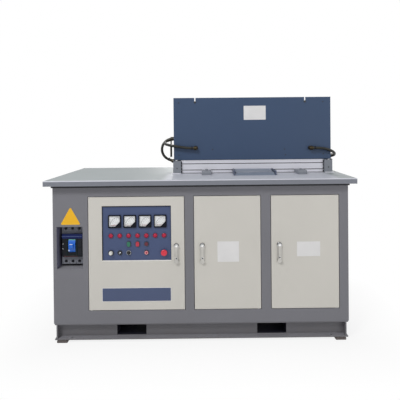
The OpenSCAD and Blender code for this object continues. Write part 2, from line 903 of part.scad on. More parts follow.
// Lamp and button housings: a collar with a floor in front, and a round shell behind
bezel_rim = 3;
shell_wall = 2;
lens_r = bezel_r - bezel_rim;
well_r = shell_r - shell_wall;
well_d = 12;
collar_floor = 1.5;
seat_y = panel_y - collar_floor;
oval_w = 22;
oval_h = 32;

module round_housing(x, z) {
    difference() {
        union() {
            peg(x, z, panel_y, collar_h, bezel_r);
            peg(x, z, panel_y + shell_l, shell_l, shell_r);
        }
        peg(x, z, panel_y + well_d, well_d + collar_h + cut, well_r);
        peg(x, z, seat_y, collar_h + cut, lens_r);
    }
}

module oval_housing(x, z) {
    difference() {
        union() {
            upright(panel_y, collar_h) translate([x, z])
                stadium(oval_w + 2 * bezel_rim, oval_h + 2 * bezel_rim);
            peg(x, z, panel_y + shell_l, shell_l, shell_r);
        }
        peg(x, z, panel_y + well_d, well_d + collar_h + cut, well_r);
        upright(seat_y, collar_h + cut) translate([x, z]) stadium(oval_w, oval_h);
    }
}

module bezel_rings() {
    color(steel) {
        for (k = [-3:3]) round_housing(lamp_x(k), lamp_row);
        for (k = [-1, 0]) oval_housing(lamp_x(k), button_row);
        round_housing(lamp_x(1), button_row);
        for (k = [-3, -1, 1, 3]) round_housing(lamp_x(k), knob_row);
        difference() {
            round_housing(lamp_x(-2), knob_row);
            along(lamp_x(-2) - shell_r - cut, 2 * (shell_r + cut))
                translate([bat_y, knob_row]) circle(bat_pin_r + fit);
        }
    }
}

lens_out = 4;
cap_out = 3;

module lamp_lenses() {
    dome = (lens_r * lens_r + lens_out * lens_out) / (2 * lens_out);
    rim = collar_h - collar_floor;
    color([0.69, 0.10, 0.27]) for (k = [-3:3]) translate([lamp_x(k), seat_y, lamp_row]) rotate([90, 0, 0]) {
        cylinder(h = rim, r = lens_r - clear);
        intersection() {
            translate([0, 0, rim + lens_out - dome]) sphere(r = dome);
            translate([0, 0, rim / 2]) cylinder(h = rim + lens_out, r = lens_r - clear);
        }
    }
}

plunger_r = well_r - clear;
plunger_l = well_d - button_travel - clear;
cap_back = collar_floor + button_travel + clear;

// A round cap in its collar, on a plunger in the shell behind
module round_button(x, z, out) {
    peg(x, z, panel_y - cap_back, collar_h - cap_back + out, lens_r - clear);
    peg(x, z, panel_y + plunger_l, plunger_l + cap_back, plunger_r);
}

module oval_button(x, z) {
    upright(panel_y - cap_back, collar_h - cap_back + cap_out) translate([x, z])
        stadium(oval_w - 2 * clear, oval_h - 2 * clear);
    peg(x, z, panel_y + plunger_l, plunger_l + cap_back, plunger_r);
}

module start_button() {
    color([0.06, 0.44, 0.30]) oval_button(lamp_x(-1), button_row);
}

module stop_button() {
    color([0.80, 0.12, 0.16]) oval_button(lamp_x(0), button_row);
}

module reset_button() {
    color([0.55, 0.10, 0.14]) round_button(lamp_x(1), button_row, cap_out);
}

module ring_button() {
    color([0.80, 0.16, 0.22]) round_button(lamp_x(1), knob_row, cap_out);
}

// Knobs stand on the collar's floor and turn in the shell
knob_skirt_h = 4;
knob_h = 16;
knob_r = 10;

knob_y = seat_y - clear;

module knob_shaft(k) {
    peg(lamp_x(k), knob_row, panel_y + well_d - clear, well_d + collar_floor, plunger_r);
}

module power_knob() {
    color([0.90, 0.90, 0.88]) {
        knob_shaft(-3);
        peg(lamp_x(-3), knob_row, knob_y, collar_h + knob_skirt_h, lens_r - clear);
        difference() {
            peg(lamp_x(-3), knob_row, knob_y, collar_h + knob_h, knob_r);
            // Pointer groove, turned fully back
            upright(knob_y - collar_h - knob_h + needle_t, needle_w) translate([lamp_x(-3), knob_row])
                rotate(135) translate([-needle_w / 2, 0]) square([needle_w, knob_r + cut]);
        }
    }
}

bat_r = 2.5;
bat_tip_r = 3.5;
bat_l = 25;
bat_back = 3;
bat_y = panel_y + bat_back;
bat_pin_r = 2;

module mode_switch() {
    pin_l = 2 * (shell_r - clear);
    color(steel) translate([lamp_x(-2), bat_y, knob_row]) {
        sphere(r = well_r - clear);
        // Pivot pins in the housing's wall
        rotate([0, 90, 0]) cylinder(h = pin_l, r = bat_pin_r, center = true);
        rotate([90, 0, 0]) cylinder(h = bat_l, r = bat_r);
        translate([0, -bat_l, 0]) sphere(r = bat_tip_r);
    }
}

bar_w = 7;
bar_in = 2;

module selector_switch() {
    color(black) {
        knob_shaft(-1);
        peg(lamp_x(-1), knob_row, knob_y, collar_h + knob_skirt_h / 2, lens_r - clear);
        upright(knob_y - collar_h, knob_h - knob_skirt_h) translate([lamp_x(-1), knob_row])
            stadium(bar_w, 2 * lens_r - bar_in);
    }
}

stop_travel = 6;
stop_neck_r = 9;
stop_head_t = 10;

module emergency_stop() {
    x = lamp_x(3);
    head_y = panel_y - collar_h - stop_travel - clear;
    color([0.85, 0.12, 0.20]) {
        peg(x, knob_row, panel_y + well_d - stop_travel - clear,
            well_d - head_y + panel_y - stop_travel, plunger_r);
        translate([x, head_y, knob_row]) rotate([90, 0, 0]) rotate_extrude() {
            square([mushroom_r, stop_head_t / 2]);
            square([mushroom_r - stop_head_t / 2, stop_head_t]);
            translate([mushroom_r - stop_head_t / 2, stop_head_t / 2]) intersection() {
                circle(stop_head_t / 2);
                square(stop_head_t);
            }
        }
        peg(x, knob_row, head_y + stop_head_t / 4, stop_head_t / 2, stop_neck_r);
    }
}

// Inside the cabinet
board_w = 320;
board_h = 240;
board_t = 2;
board_left = 60;
board_share = 0.6;
board_x = (door_x[0] + partition_x[0]) / 2 - board_left;
board_z = base_z + cabinet_h * board_share;
standoff_l = 12;
standoff_r = 4;
chip_t = 14;
chip_shares = [[-0.30, 0.22, 0.20, 0.28], [0.02, 0.25, 0.16, 0.22], [0.30, 0.18, 0.22, 0.34],
    [-0.28, -0.22, 0.26, 0.24], [0.10, -0.20, 0.20, 0.30], [0.36, -0.26, 0.12, 0.20]];

module control_board() {
    y0 = rear_y - sheet;
    color([0.10, 0.35, 0.20]) {
        upright(y0 - standoff_l, board_t) translate([board_x, board_z])
            square([board_w, board_h], center = true);
        for (sx = [-1, 1], sz = [-1, 1])
            peg(board_x + sx * (board_w / 2 - standoff_l), board_z + sz * (board_h / 2 - standoff_l),
                y0, standoff_l, standoff_r);
        for (c = chip_shares) upright(y0 - standoff_l - board_t, chip_t)
            translate([board_x + c[0] * board_w, board_z + c[1] * board_h])
                square([c[2] * board_w, c[3] * board_h], center = true);
    }
}

reactor_w = 320;
reactor_h = 270;
reactor_d = 110;
reactor_leg = 80;
reactor_winding = 35;
reactor_in = 160;
reactor_back = 200;
reactor_x = door_x[0] + reactor_in;
reactor_y = rear_y - reactor_back;

module dc_reactor() {
    window_w = reactor_w - 2 * reactor_leg;
    window_h = reactor_h - 2 * reactor_leg;
    color([0.45, 0.30, 0.18]) translate([reactor_x, reactor_y, floor_z]) {
        upright(reactor_d / 2, reactor_d) translate([0, reactor_h / 2]) difference() {
            square([reactor_w, reactor_h], center = true);
            square([window_w, window_h], center = true);
        }
        for (s = [-1, 1]) translate([s * (reactor_w - reactor_leg) / 2, 0, reactor_leg + clear])
            linear_extrude(window_h - 2 * clear) difference() {
                rounded(reactor_leg + 2 * reactor_winding, reactor_d + 2 * reactor_winding,
                    reactor_winding / 2);
                square([reactor_leg + 2 * clear, reactor_d + 2 * clear], center = true);
            }
    }
}

stack_w = 300;
stack_d = 230;
stack_h = 540;
stack_wall = 10;
stack_rows = 4;
stack_x = bus_x[0] - bus_w / 2;
stack_over = 20;
stack_y = bus_y + bus_t + stack_over - stack_d;
disc_r = 38;
disc_h = 30;
sink_h = 40;

module power_stack() {
    step = (stack_h - stack_wall) / stack_rows;
    color([0.60, 0.61, 0.63]) translate([stack_x, stack_y, floor_z]) {
        for (x = [0, stack_w - stack_wall]) block(x, 0, 0, stack_wall, stack_d, stack_h - stack_wall);
        block(0, 0, stack_h - stack_wall, stack_w, stack_d, stack_wall);
        for (k = [0:stack_rows - 1]) {
            block(stack_wall, 0, k * step, stack_w - 2 * stack_wall, stack_d, sink_h);
            for (s = [1, 2, 3]) translate([s * stack_w / 4, stack_d / 3, k * step + sink_h])
                cylinder(h = disc_h, r = disc_r);
        }
    }
}

can_w = 52;
can_d = 240;
can_h = 330;
can_gap = 10;
can_count = 6;
stud_r = 9;
stud_h = 26;
can_in = 50;
can_over = 40;
can_x = partition_x[1] + can_in;
can_y = bus_y - can_d + can_over;

module capacitor_bank() {
    run = can_count * can_w + (can_count - 1) * can_gap;
    color([0.68, 0.70, 0.72]) translate([can_x, can_y, floor_z]) {
        for (k = [0:can_count - 1]) translate([k * (can_w + can_gap), 0, 0]) {
            block(0, 0, 0, can_w, can_d, can_h);
            for (y = [can_d / 4, can_d - can_over + bus_t / 2]) translate([can_w / 2, y, can_h])
                cylinder(h = stud_h, r = stud_r);
        }
        for (y = [can_d / 4, can_d - can_over + bus_t / 2])
            block(0, y - bus_w / 4, can_h + stud_h, run, bus_w / 2, bus_t);
    }
}

// Coil unit
bed_back_y = bed_y + bed_d;
axis_back = 225;
axis_up = 320;
axis_y = bed_y + axis_back;
axis_z = work_z + axis_up;
lining_r = throat_r + lining_t;
lining_gap = 1.5;
coil_r = lining_r + lining_gap + coil_tube_r;
coil_rings = 24;
coil_sides = 6;
bus_over = 25;
foot_l = 60;
block_lap = 25;
block_front = 25;
strip_h = 5;
strip_lap = 6;
edge_cut = 5;

module busbars() {
    stand = [floor_z + stack_h, floor_z + can_h + stud_h + bus_t];
    lead_z = [axis_z - coil_r, axis_z + coil_r];
    color(copper) for (k = [0, 1]) {
        block(bus_x[k] - bus_w / 2, bus_y, stand[k], bus_w, bus_t, lead_z[k] + bus_over - stand[k]);
        block(bus_x[k] - bus_w / 2, bus_y - foot_l / 4, stand[k], bus_w, foot_l / 2, bus_t);
    }
}

groove_h = 5;
groove_in = 12;
tee_h = 12;
tee_in = 6;
// Heights of the two grooves as shares of the bed's height
groove_shares = [0.265, 0.765];
cell_wall = 8;
cell_count = 4;

module bed2d() {
    cell_w = (bed_d - 2 * (groove_in + tee_in) - (cell_count + 1) * cell_wall) / cell_count;
    translate([bed_y, work_z]) difference() {
        square([bed_d, bed_h]);
        for (g = groove_shares, side = [0, 1]) translate([side * bed_d, g * bed_h]) {
            square([2 * groove_in, groove_h], center = true);
            translate([(1 - 2 * side) * (groove_in - tee_in / 2), 0]) square([tee_in, tee_h], center = true);
        }
        for (k = [0:cell_count - 1])
            translate([groove_in + tee_in + cell_wall + k * (cell_w + cell_wall), cell_wall])
                square([cell_w, bed_h - 2 * cell_wall]);
    }
}

module coil_bed() {
    color([0.76, 0.76, 0.78]) along(station_x - bed_l / 2, bed_l) bed2d();
}

block_y = bed_y - block_front;
block_d = bed_d + block_front + block_lap;

// Fittings on the coil unit: where each hose starts or ends, and the stub that it meets
left_end_x = station_x - bed_l / 2;
right_end_x = station_x + bed_l / 2;
port_in = [106, 96];
port_rise = [180, 174];
hose_port_z = [work_z + port_rise[0], work_z + port_rise[1]];
hose_port_x = [left_end_x + port_in[0], right_end_x - port_in[1]];
elbow_out = 28;
elbow_y = bed_y - elbow_out;
stub_more = 1;
nut_more = 5;
thread_less = 2;
stub_r = hose_r + stub_more;
nut_r = hose_r + nut_more;
thread_r = nut_r - thread_less;
nut_h = 8;
plate_x = left_end_x - end_plate_t;
rear_port_l = 30;
rear_port_wall = 5;
block_left_x = left_end_x - end_block_w;
drip_out = 93;
drip_back = 280;
drip_up = [130, 250];
drip_x = left_end_x - drip_out;
drip_y = bed_y + drip_back;
drip_z = [work_z + drip_up[0], work_z + drip_up[1]];
drip_r = 5;

// Routes of the hoses, from the bed's left or right end at its front, on the tabletop
function from(x, p) = [for (q = p) [x, bed_y, work_z] + q];
left_front_route = from(left_end_x, [[90, -28, 180], [72, -28, 180], [44, -28, 182], [12, -28, 186],
    [-14, -28, 190], [-36, -28, 194], [-64.7, -22.9, 198], [-90, -8.3, 203], [-108.7, 14, 208],
    [-118.7, 41.4, 214], [-118.7, 70.6, 221], [-108.7, 98, 228], [-90, 120.3, 234],
    [-64.7, 134.9, 239], [-46, 140, 243], [-34, 140, 243]]);
left_loop_route = from(left_end_x, [[-34, 178, 243], [-51, 178, 243], [-73, 178, 243],
    [-100.4, 177, 238.2], [-124.4, 176, 224.3], [-142.3, 175, 203], [-151.8, 175, 176.9],
    [-151.8, 175, 149.1], [-142.3, 175, 123], [-124.4, 175, 101.7], [-101.7, 175, 88.3],
    [-89.5, 175, 83.6]]);
right_route = from(right_end_x, [[-78, -28, 174], [-60, -28, 174], [-34, -28, 172.5],
    [-10, -28, 170], [10, -28, 166], [37.4, -23.2, 158], [61.4, -9.3, 147], [79.3, 12, 136],
    [88.8, 38.1, 125], [90, 62, 117], [88.5, 84, 113], [86, 104, 111]]);

function last_of(p) = p[len(p) - 1];
function beyond(p, k) = last_of(p) + k * (last_of(p) - p[len(p) - 2]);
elbow_shares = [1.5, 1];
left_elbow = beyond(left_loop_route, elbow_shares[0]);
right_elbow = beyond(right_route, elbow_shares[1]);

module port(a, b) {
    // A stub with a hexagon nut at its root
    d = (b - a) / norm(b - a);
    rod(a, b, stub_r);
    rod(a, a + d * nut_h, nut_r);
}

module water_fittings() {
    color([0.62, 0.58, 0.45]) {
        // Elbows in the front panel
        for (k = [0, 1]) {
            x = hose_port_x[k];
            z = hose_port_z[k];
            side = 2 * k - 1;
            end = k == 0 ? left_front_route[0] : right_route[0];
            peg(x, z, bed_y + shield_t + nut_h, shield_t + nut_h + bed_y - elbow_y, thread_r);
            peg(x, z, bed_y, nut_h, nut_r);
            peg(x, z, bed_y + shield_t + nut_h, nut_h, nut_r);
            translate([x, elbow_y, z]) sphere(r = thread_r);
            rod([x, elbow_y, z], [end[0], elbow_y, z], stub_r);
            rod([x + side * nut_h / 2, elbow_y, z], [x + side * nut_h * 3 / 2, elbow_y, z], nut_r);
        }
        // Stubs on the left end plate
        for (end = [last_of(left_front_route), left_loop_route[0]]) port([plate_x, end[1], end[2]], end);
        // Elbows on the left end block and the right end plate
        rod([block_left_x, left_elbow[1], left_elbow[2]], left_elbow, nut_r);
        translate(left_elbow) sphere(r = nut_r);
        rod(left_elbow, last_of(left_loop_route), stub_r);
        port([right_end_x + end_plate_t, right_elbow[1], right_elbow[2]], right_elbow);
        translate(right_elbow) sphere(r = nut_r);
        rod(right_elbow, last_of(right_route), stub_r);
        // Drip pipe behind the left edge of the front panel
        rod([plate_x, drip_y, drip_z[1]], [drip_x, drip_y, drip_z[1]], drip_r);
        translate([drip_x, drip_y, drip_z[1]]) sphere(r = drip_r);
        rod([drip_x, drip_y, drip_z[1]], [drip_x, drip_y, drip_z[0]], drip_r);
        // Ports in the rear panel
        for (x = [port_x, port_x + port_pitch]) difference() {
            union() {
                peg(x, port_z, rear_y + rear_port_l, rear_port_l + sheet + nut_h, port_r);
                peg(x, port_z, rear_y + nut_h, nut_h, port_r + nut_h);
                peg(x, port_z, rear_y - sheet, nut_h, port_r + nut_h);
            }
            peg(x, port_z, rear_y + rear_port_l + cut, rear_port_l + sheet + nut_h + 2 * cut,
                port_r - rear_port_wall);
        }
    }
}

module end_block2d() {
    polygon([[0, 0], [end_block_w, 0], [end_block_w, end_block_h - edge_cut],
        [end_block_w - edge_cut, end_block_h], [edge_cut, end_block_h], [0, end_block_h - edge_cut]]);
}

module end_block() {
    x0 = station_x + bed_l / 2;
    translate([x0, 0, work_z]) {
        upright(block_y + block_d, block_d) end_block2d();
        block(0, block_y - strip_lap, 0, end_block_w + strip_lap, block_d + 2 * strip_lap, strip_h);
    }
}

module bed_end_blocks() {
    color([0.45, 0.46, 0.50]) {
        end_block();
        translate([2 * station_x, 0, 0]) mirror([1, 0, 0]) end_block();
    }
}

clamp_x = 328;
clamp_w = 62;
clamp_l = 130;
clamp_h = 26;
clamp_nose = 10;
bolt_r = 9;
bolt_h = 8;

module bed_clamps() {
    color([0.46, 0.46, 0.50]) for (s = [-1, 1]) {
        x = station_x + s * clamp_x;
        along(x - clamp_w / 2, clamp_w) translate([bed_y, work_z])
            polygon([[0, 0], [0, clamp_h], [-clamp_l + clamp_nose, clamp_h], [-clamp_l, clamp_h - clamp_nose],
                [-clamp_l, 0]]);
        translate([x, bed_y - clamp_l / 2, work_z + clamp_h]) cylinder(h = bolt_h, r = bolt_r, $fn = 6);
    }
}

tray_w = 283;
tray_l = 170;
tray_h = 20;
tray_rise = 10;
tray_lug = 14;
tray_slope = 20;

module centre_tray() {
    color([0.45, 0.50, 0.56]) {
        along(station_x - tray_w / 2 + tray_lug, tray_w - 2 * tray_lug) translate([bed_y, work_z])
            polygon([[0, 0], [0, tray_h + tray_rise], [-tray_slope, tray_h + tray_rise],
                [-tray_l / 2, tray_h], [-tray_l, tray_h], [-tray_l, 0]]);
        block(station_x - tray_w / 2, bed_y - tray_l, work_z, tray_w, tray_l - tray_slope, tray_h / 2);
    }
}

notch_w = 8;
notch_h = 32;
notch_in = [152, 182];
notch_x = [station_x - shield_w / 2 + notch_in[0], station_x + shield_w / 2 - notch_in[1]];
shield_up = 95;
shield_z = work_z + shield_up;

module coil_front_panel() {
    color(navy) upright(bed_y + shield_t, shield_t) difference() {
        translate([station_x - shield_w / 2, shield_z]) square([shield_w, shield_h]);
        for (x = notch_x) {
            translate([x - notch_w / 2, shield_z + shield_h - notch_h]) square([notch_w, notch_h + cut]);
            translate([x, shield_z + shield_h - notch_h]) circle(notch_w * 3 / 4);
        }
        for (k = [0, 1]) translate([hose_port_x[k], hose_port_z[k]]) circle(thread_r + fit);
    }
}

end_plate_r = 20;

module coil_end_plates() {
    depth = bed_d - shield_t;
    for (s = [0, 1]) color([0.80, 0.76, 0.68])
        along(s == 0 ? plate_x : station_x + bed_l / 2, end_plate_t) difference() {
            translate([bed_y + shield_t + depth / 2, work_z + end_block_h + end_plate_h / 2])
                rounded(depth, end_plate_h, end_plate_r);
            translate([axis_y, axis_z]) circle(lining_r + clear);
        }
}

bar_s = 28;

module coil_stay_bars() {
    reach = coil_r + coil_tube_r + clear;
    color([0.72, 0.60, 0.42]) for (a = [0:90:270])
        along(station_x - bed_l / 2, bed_l) translate([axis_y, axis_z]) rotate(a)
            translate([reach, -bar_s / 2]) square([bar_s, bar_s]);
}

lining_over = 10;

module coil_lining() {
    l = bed_l + 2 * end_plate_t + 2 * lining_over;
    color([0.88, 0.86, 0.80]) along(station_x - l / 2, l) translate([axis_y, axis_z]) difference() {
        circle(lining_r);
        circle(throat_r);
    }
}

// A tube of n sides swept along points, each ring square to the route
function unit(v) = v / norm(v);
function heading(p, i) = unit(p[min(i + 1, len(p) - 1)] - p[max(i - 1, 0)]);
function ring_points(p, i, r, n, up) =
    let (t = heading(p, i), u = unit(cross(up, t)), v = cross(t, u))
    [for (k = [0:n - 1]) p[i] + r * (cos(360 * k / n) * u + sin(360 * k / n) * v)];

module sweep_tube(p, r, n, up) {
    last = len(p) - 1;
    points = [for (i = [0:last]) each ring_points(p, i, r, n, up)];
    walls = [for (i = [0:last - 1], k = [0:n - 1]) let (a = i * n + k, b = i * n + (k + 1) % n)
        each [[a, a + n, b + n], [a, b + n, b]]];
    first_cap = [for (k = [1:n - 2]) [0, k, k + 1]];
    last_cap = [for (k = [1:n - 2]) [last * n, last * n + k + 1, last * n + k]];
    polyhedron(points = points, faces = concat(walls, first_cap, last_cap), convexity = 10);
}

// The winding runs backwards round the axis: in at the bottom, out at the top
coil_steps = coil_turns * coil_rings;
lead_run = bus_y - axis_y;
function turn_point(i) =
    let (a = -90 - 360 * i / coil_rings)
    [bus_x[0] + coil_pitch * i / coil_rings, axis_y + coil_r * cos(a), axis_z + coil_r * sin(a)];
coil_route = concat(
    [for (s = [1, 0.8, 0.3]) [bus_x[0], axis_y + s * lead_run, axis_z - coil_r]],
    [for (i = [0:coil_steps]) turn_point(i)],
    [for (s = [0.3, 0.8, 1]) [bus_x[1], axis_y + s * lead_run, axis_z + coil_r]]);

module coil() {
    far = coil_rings / 2;
    gap = min([for (i = [0:coil_rings], j = [i + far:2 * coil_rings])
        norm(turn_point(i) - turn_point(j))]) - 2 * coil_tube_r;
    echo(least_gap_between_turns = gap);
    color(copper) sweep_tube(coil_route, coil_tube_r, coil_sides, [1, 0, 0]);
}

hose_sides = 8;

module left_front_hose() {
    color(black) sweep_tube(left_front_route, hose_r, hose_sides, [0, 0, 1]);
}

module left_loop_hose() {
    color(black) sweep_tube(left_loop_route, hose_r, hose_sides, [0, 1, 0]);
}

module right_hose() {
    color(black) sweep_tube(right_route, hose_r, hose_sides, [0, 0, 1]);
}

plinth_frame();
plinth_feet();
cabinet_frame();
side_panels();
rear_panel();
cabinet_floor();
tabletop();
water_fittings();
breaker_recess();
breaker_case();
breaker_toggle();
breaker_terminals();
control_door();
middle_door();
right_door();
lock_base(0);  // control_lock_base
lock_base(1);  // middle_lock_base
lock_base(2);  // right_lock_base
lock_spindle(0);  // control_lock_spindle
lock_spindle(1);  // middle_lock_spindle
lock_spindle(2);  // right_lock_spindle
lock_lever(0);  // control_lock_lever
lock_lever(1);  // middle_lock_lever
lock_lever(2);  // right_lock_lever
hinge_pins();
control_panel();
meter_cases();
meter_dials();
meter_windows();
meter_needle(0);  // meter_needle_1
meter_needle(1);  // meter_needle_2
meter_needle(2);  // meter_needle_3
meter_needle(3);  // meter_needle_4
bezel_rings();
lamp_lenses();
start_button();
stop_button();
reset_button();
power_knob();
mode_switch();
selector_switch();
ring_button();
emergency_stop();
capacitor_bank();
dc_reactor();
power_stack();
control_board();
busbars();
coil_bed();
bed_end_blocks();
bed_clamps();
centre_tray();
coil_front_panel();
coil_end_plates();
coil_stay_bars();
coil();
coil_lining();
left_front_hose();
left_loop_hose();
right_hose();
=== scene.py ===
"""Finishes, hoses, coil, scales, plates, trim, screws and stage for an induction heating machine."""

import math

import bmesh
import bpy
from mathutils import Matrix, Vector


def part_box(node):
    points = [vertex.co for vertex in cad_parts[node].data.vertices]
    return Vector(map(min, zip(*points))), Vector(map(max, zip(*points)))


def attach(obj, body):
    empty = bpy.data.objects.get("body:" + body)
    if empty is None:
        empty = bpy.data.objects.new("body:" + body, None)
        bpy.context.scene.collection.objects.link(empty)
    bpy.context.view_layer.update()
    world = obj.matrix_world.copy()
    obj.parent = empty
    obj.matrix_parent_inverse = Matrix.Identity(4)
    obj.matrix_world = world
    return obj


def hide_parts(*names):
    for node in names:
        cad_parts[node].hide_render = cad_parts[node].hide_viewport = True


bl_info = {
    "name": "Induction Heating Machine",
    "version": (1, 0, 0),
    "blender": (4, 5, 0),
    "location": "3D View > Sidebar > Heater",
    "description": "Gives the induction heating machine its finishes, hoses, screws, plates and stage",
    "category": "Object",
}

MM = 0.001

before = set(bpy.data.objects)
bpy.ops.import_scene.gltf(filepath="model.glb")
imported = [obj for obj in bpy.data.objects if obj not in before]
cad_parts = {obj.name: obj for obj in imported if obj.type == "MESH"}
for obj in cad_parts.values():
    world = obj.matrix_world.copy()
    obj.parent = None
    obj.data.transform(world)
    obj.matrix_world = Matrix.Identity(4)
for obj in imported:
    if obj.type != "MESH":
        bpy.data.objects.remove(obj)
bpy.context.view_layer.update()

DOORS = ("control", "middle", "right")
NEEDLES = ("meter_needle_1", "meter_needle_2", "meter_needle_3", "meter_needle_4")

# The fork pockets, in millimetres: how far their middle is from the machine's, then their half
# width, floor, roof and half depth, half a millimetre past their walls' inner faces
FORK_POCKETS = (449, 93.5, 30.5, 101.5, 399.5)

# Heights on the breaker, the row of switches, and a pipe, in millimetres, as the solids have them
LOWER_COVER_TOP = 535
BREAKER_HEADER_FOOT = 652
UPPER_COVER_FOOT = 679
TOGGLE_TINT_FOOT = 640
SWITCH_ROW = 566
DRIP_PIPE_RADIUS = 5

# Routes of the hoses, in millimetres, as the solids have them
LEFT_FRONT_ROUTE = (
    (-50, -88, 1210), (-68, -88, 1210), (-96, -88, 1212), (-128, -88, 1216),
    (-154, -88, 1220), (-176, -88, 1224), (-204.7, -82.9, 1228), (-230, -68.3, 1233),
    (-248.7, -46, 1238), (-258.7, -18.6, 1244), (-258.7, 10.6, 1251), (-248.7, 38, 1258),
    (-230, 60.3, 1264), (-204.7, 74.9, 1269), (-186, 80, 1273), (-174, 80, 1273),
)
LEFT_LOOP_ROUTE = (
    (-174, 118, 1273), (-191, 118, 1273), (-213, 118, 1273), (-240.4, 117, 1268.2),
    (-264.4, 116, 1254.3), (-282.3, 115, 1233), (-291.8, 115, 1206.9), (-291.8, 115, 1179.1),
    (-282.3, 115, 1153), (-264.4, 115, 1131.7), (-241.7, 115, 1118.3), (-229.5, 115, 1113.6),
)
RIGHT_ROUTE = (
    (794, -88, 1204), (812, -88, 1204), (838, -88, 1202.5), (862, -88, 1200),
    (882, -88, 1196), (909.4, -83.2, 1188), (933.4, -69.3, 1177), (951.3, -48, 1166),
    (960.8, -21.9, 1155), (962, 2, 1147), (960.5, 24, 1143), (958, 44, 1141),
)


def linear(code):
    """An sRGB hex colour as linear red, green and blue."""
    parts = [int(code[i:i + 2], 16) / 255 for i in (1, 3, 5)]
    return tuple(c / 12.92 if c <= 0.04045 else ((c + 0.055) / 1.055) ** 2.4 for c in parts)


def shade(colour, factor):
    """A linear colour made darker or lighter, with its alpha."""
    return (*(min(1.0, c * factor) for c in colour[:3]), 1.0)


def opaque(code):
    """An sRGB hex colour as a node takes it: linear, with its alpha."""
    return (*linear(code), 1.0)


def corners_mm(node):
    """A node's lowest and highest corners at rest, in millimetres."""
    return [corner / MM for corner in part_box(node)]


def low(node):
    """A node's lowest corner at rest, in metres, as high and middle are too."""
    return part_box(node)[0]


def high(node):
    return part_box(node)[1]


def middle(node):
    a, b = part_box(node)
    return (a + b) / 2


class HeaterColours(bpy.types.PropertyGroup):
    cabinet: bpy.props.FloatVectorProperty(
        name="Cabinet", description="Grey enamel of the cabinet and plinth",
        subtype="COLOR", default=linear("#737379"), min=0, max=1)
    doors: bpy.props.FloatVectorProperty(
        name="Doors", description="Cream enamel of the doors",
        subtype="COLOR", default=linear("#CCC9C2"), min=0, max=1)
    tabletop: bpy.props.FloatVectorProperty(
        name="Tabletop", description="Grey enamel round the tabletop's edge",
        subtype="COLOR", default=linear("#787B84"), min=0, max=1)
    # Painted light: the tabletop's top is drawn paler than its edge, as if lit from above
    table_surface: bpy.props.FloatVectorProperty(
        name="Table surface", description="Paler enamel on top of the tabletop",
        subtype="COLOR", default=linear("#8F9799"), min=0, max=1)
    # Painted reflection: the pale bed as if mirrored on the tabletop in front of it
    rubbed: bpy.props.FloatVectorProperty(
        name="Rubbed surface",
        description="Enamel rubbed bright where stock slides in front of the bed",
        subtype="COLOR", default=linear("#C6C8D1"), min=0, max=1)
    coil_panel: bpy.props.FloatVectorProperty(
        name="Coil panel", description="Blue-grey enamel of the coil's front panel",
        subtype="COLOR", default=linear("#2E4361"), min=0, max=1)
    control_panel: bpy.props.FloatVectorProperty(
        name="Control panel", description="Blue face of the control panel and the name plate",
        subtype="COLOR", default=linear("#404E72"), min=0, max=1)
    blocks: bpy.props.FloatVectorProperty(
        name="Blocks", description="Grey enamel of the bed's end blocks and clamps",
        subtype="COLOR", default=linear("#7C8088"), min=0, max=1)
    tray: bpy.props.FloatVectorProperty(
        name="Tray", description="Blue-grey enamel of the catch tray",
        subtype="COLOR", default=linear("#767F8E"), min=0, max=1)
    lamps: bpy.props.FloatVectorProperty(
        name="Lamps", description="Red of the pilot lamps",
        subtype="COLOR", default=linear("#B30F3E"), min=0, max=1)


class HeaterSizes(bpy.types.PropertyGroup):
    hose: bpy.props.FloatProperty(
        name="Hose", description="Outer diameter of the rubber hoses",
        unit="LENGTH", default=19 * MM, min=15 * MM, max=20 * MM)
    peel: bpy.props.FloatProperty(
        name="Orange peel",
        description="Width of the ripples in sprayed enamel, drawn coarse enough to show",
        unit="LENGTH", default=6 * MM, min=1 * MM, max=20 * MM)
    edge: bpy.props.FloatProperty(
        name="Edge", description="Radius at which sheet edges are rounded by the paint",
        unit="LENGTH", default=1.5 * MM, min=0.2 * MM, max=4 * MM)
    screw: bpy.props.FloatProperty(
        name="Screw head", description="Radius of the panel screws' heads",
        unit="LENGTH", default=4.5 * MM, min=2 * MM, max=8 * MM)


class HeaterView(bpy.types.PropertyGroup):
    place: bpy.props.FloatVectorProperty(
        name="Camera place", description="Where the camera stands",
        subtype="TRANSLATION", unit="LENGTH", default=(0.0414, -3.1109, 1.3449))
    yaw: bpy.props.FloatProperty(
        name="Yaw", description="Turn of the camera towards +X",
        subtype="ANGLE", default=math.radians(0.268))
    pitch: bpy.props.FloatProperty(
        name="Pitch", description="Tilt of the camera upwards",
        subtype="ANGLE", default=math.radians(-0.499))
    roll: bpy.props.FloatProperty(
        name="Roll", description="Turn of the camera about its own axis",
        subtype="ANGLE", default=math.radians(-0.535))
    lens: bpy.props.FloatProperty(
        name="Lens", description="Focal length on a 36 mm sensor",
        unit="CAMERA", default=38.70, min=10, max=200)
    shift: bpy.props.FloatVectorProperty(
        name="Shift", description="Shift of the picture, as shares of its width",
        size=2, default=(-0.0212, -0.1686))


# Tools for trees of nodes

def add(tree, kind, settings=None, inputs=None):
    """Adds a node, with its settings, its values and its links."""
    node = tree.nodes.new(kind)
    for key, value in (settings or {}).items():
        setattr(node, key, value)
    for key, value in (inputs or {}).items():
        if isinstance(value, bpy.types.NodeSocket):
            tree.links.new(value, node.inputs[key])
        else:
            node.inputs[key].default_value = value
    return node


def new_finish(name, **values):
    """A material with its shader's plain values, its tree, and the piece's own coordinates."""
    made = bpy.data.materials.new(name)
    made.use_nodes = True
    tree = made.node_tree
    shader = tree.nodes["Principled BSDF"]
    for key, value in values.items():
        label = key.replace("_", " ").title().replace("Ior", "IOR")
        shader.inputs[label].default_value = value
    place = add(tree, "ShaderNodeTexCoord").outputs["Object"]
    return made, tree, shader, place


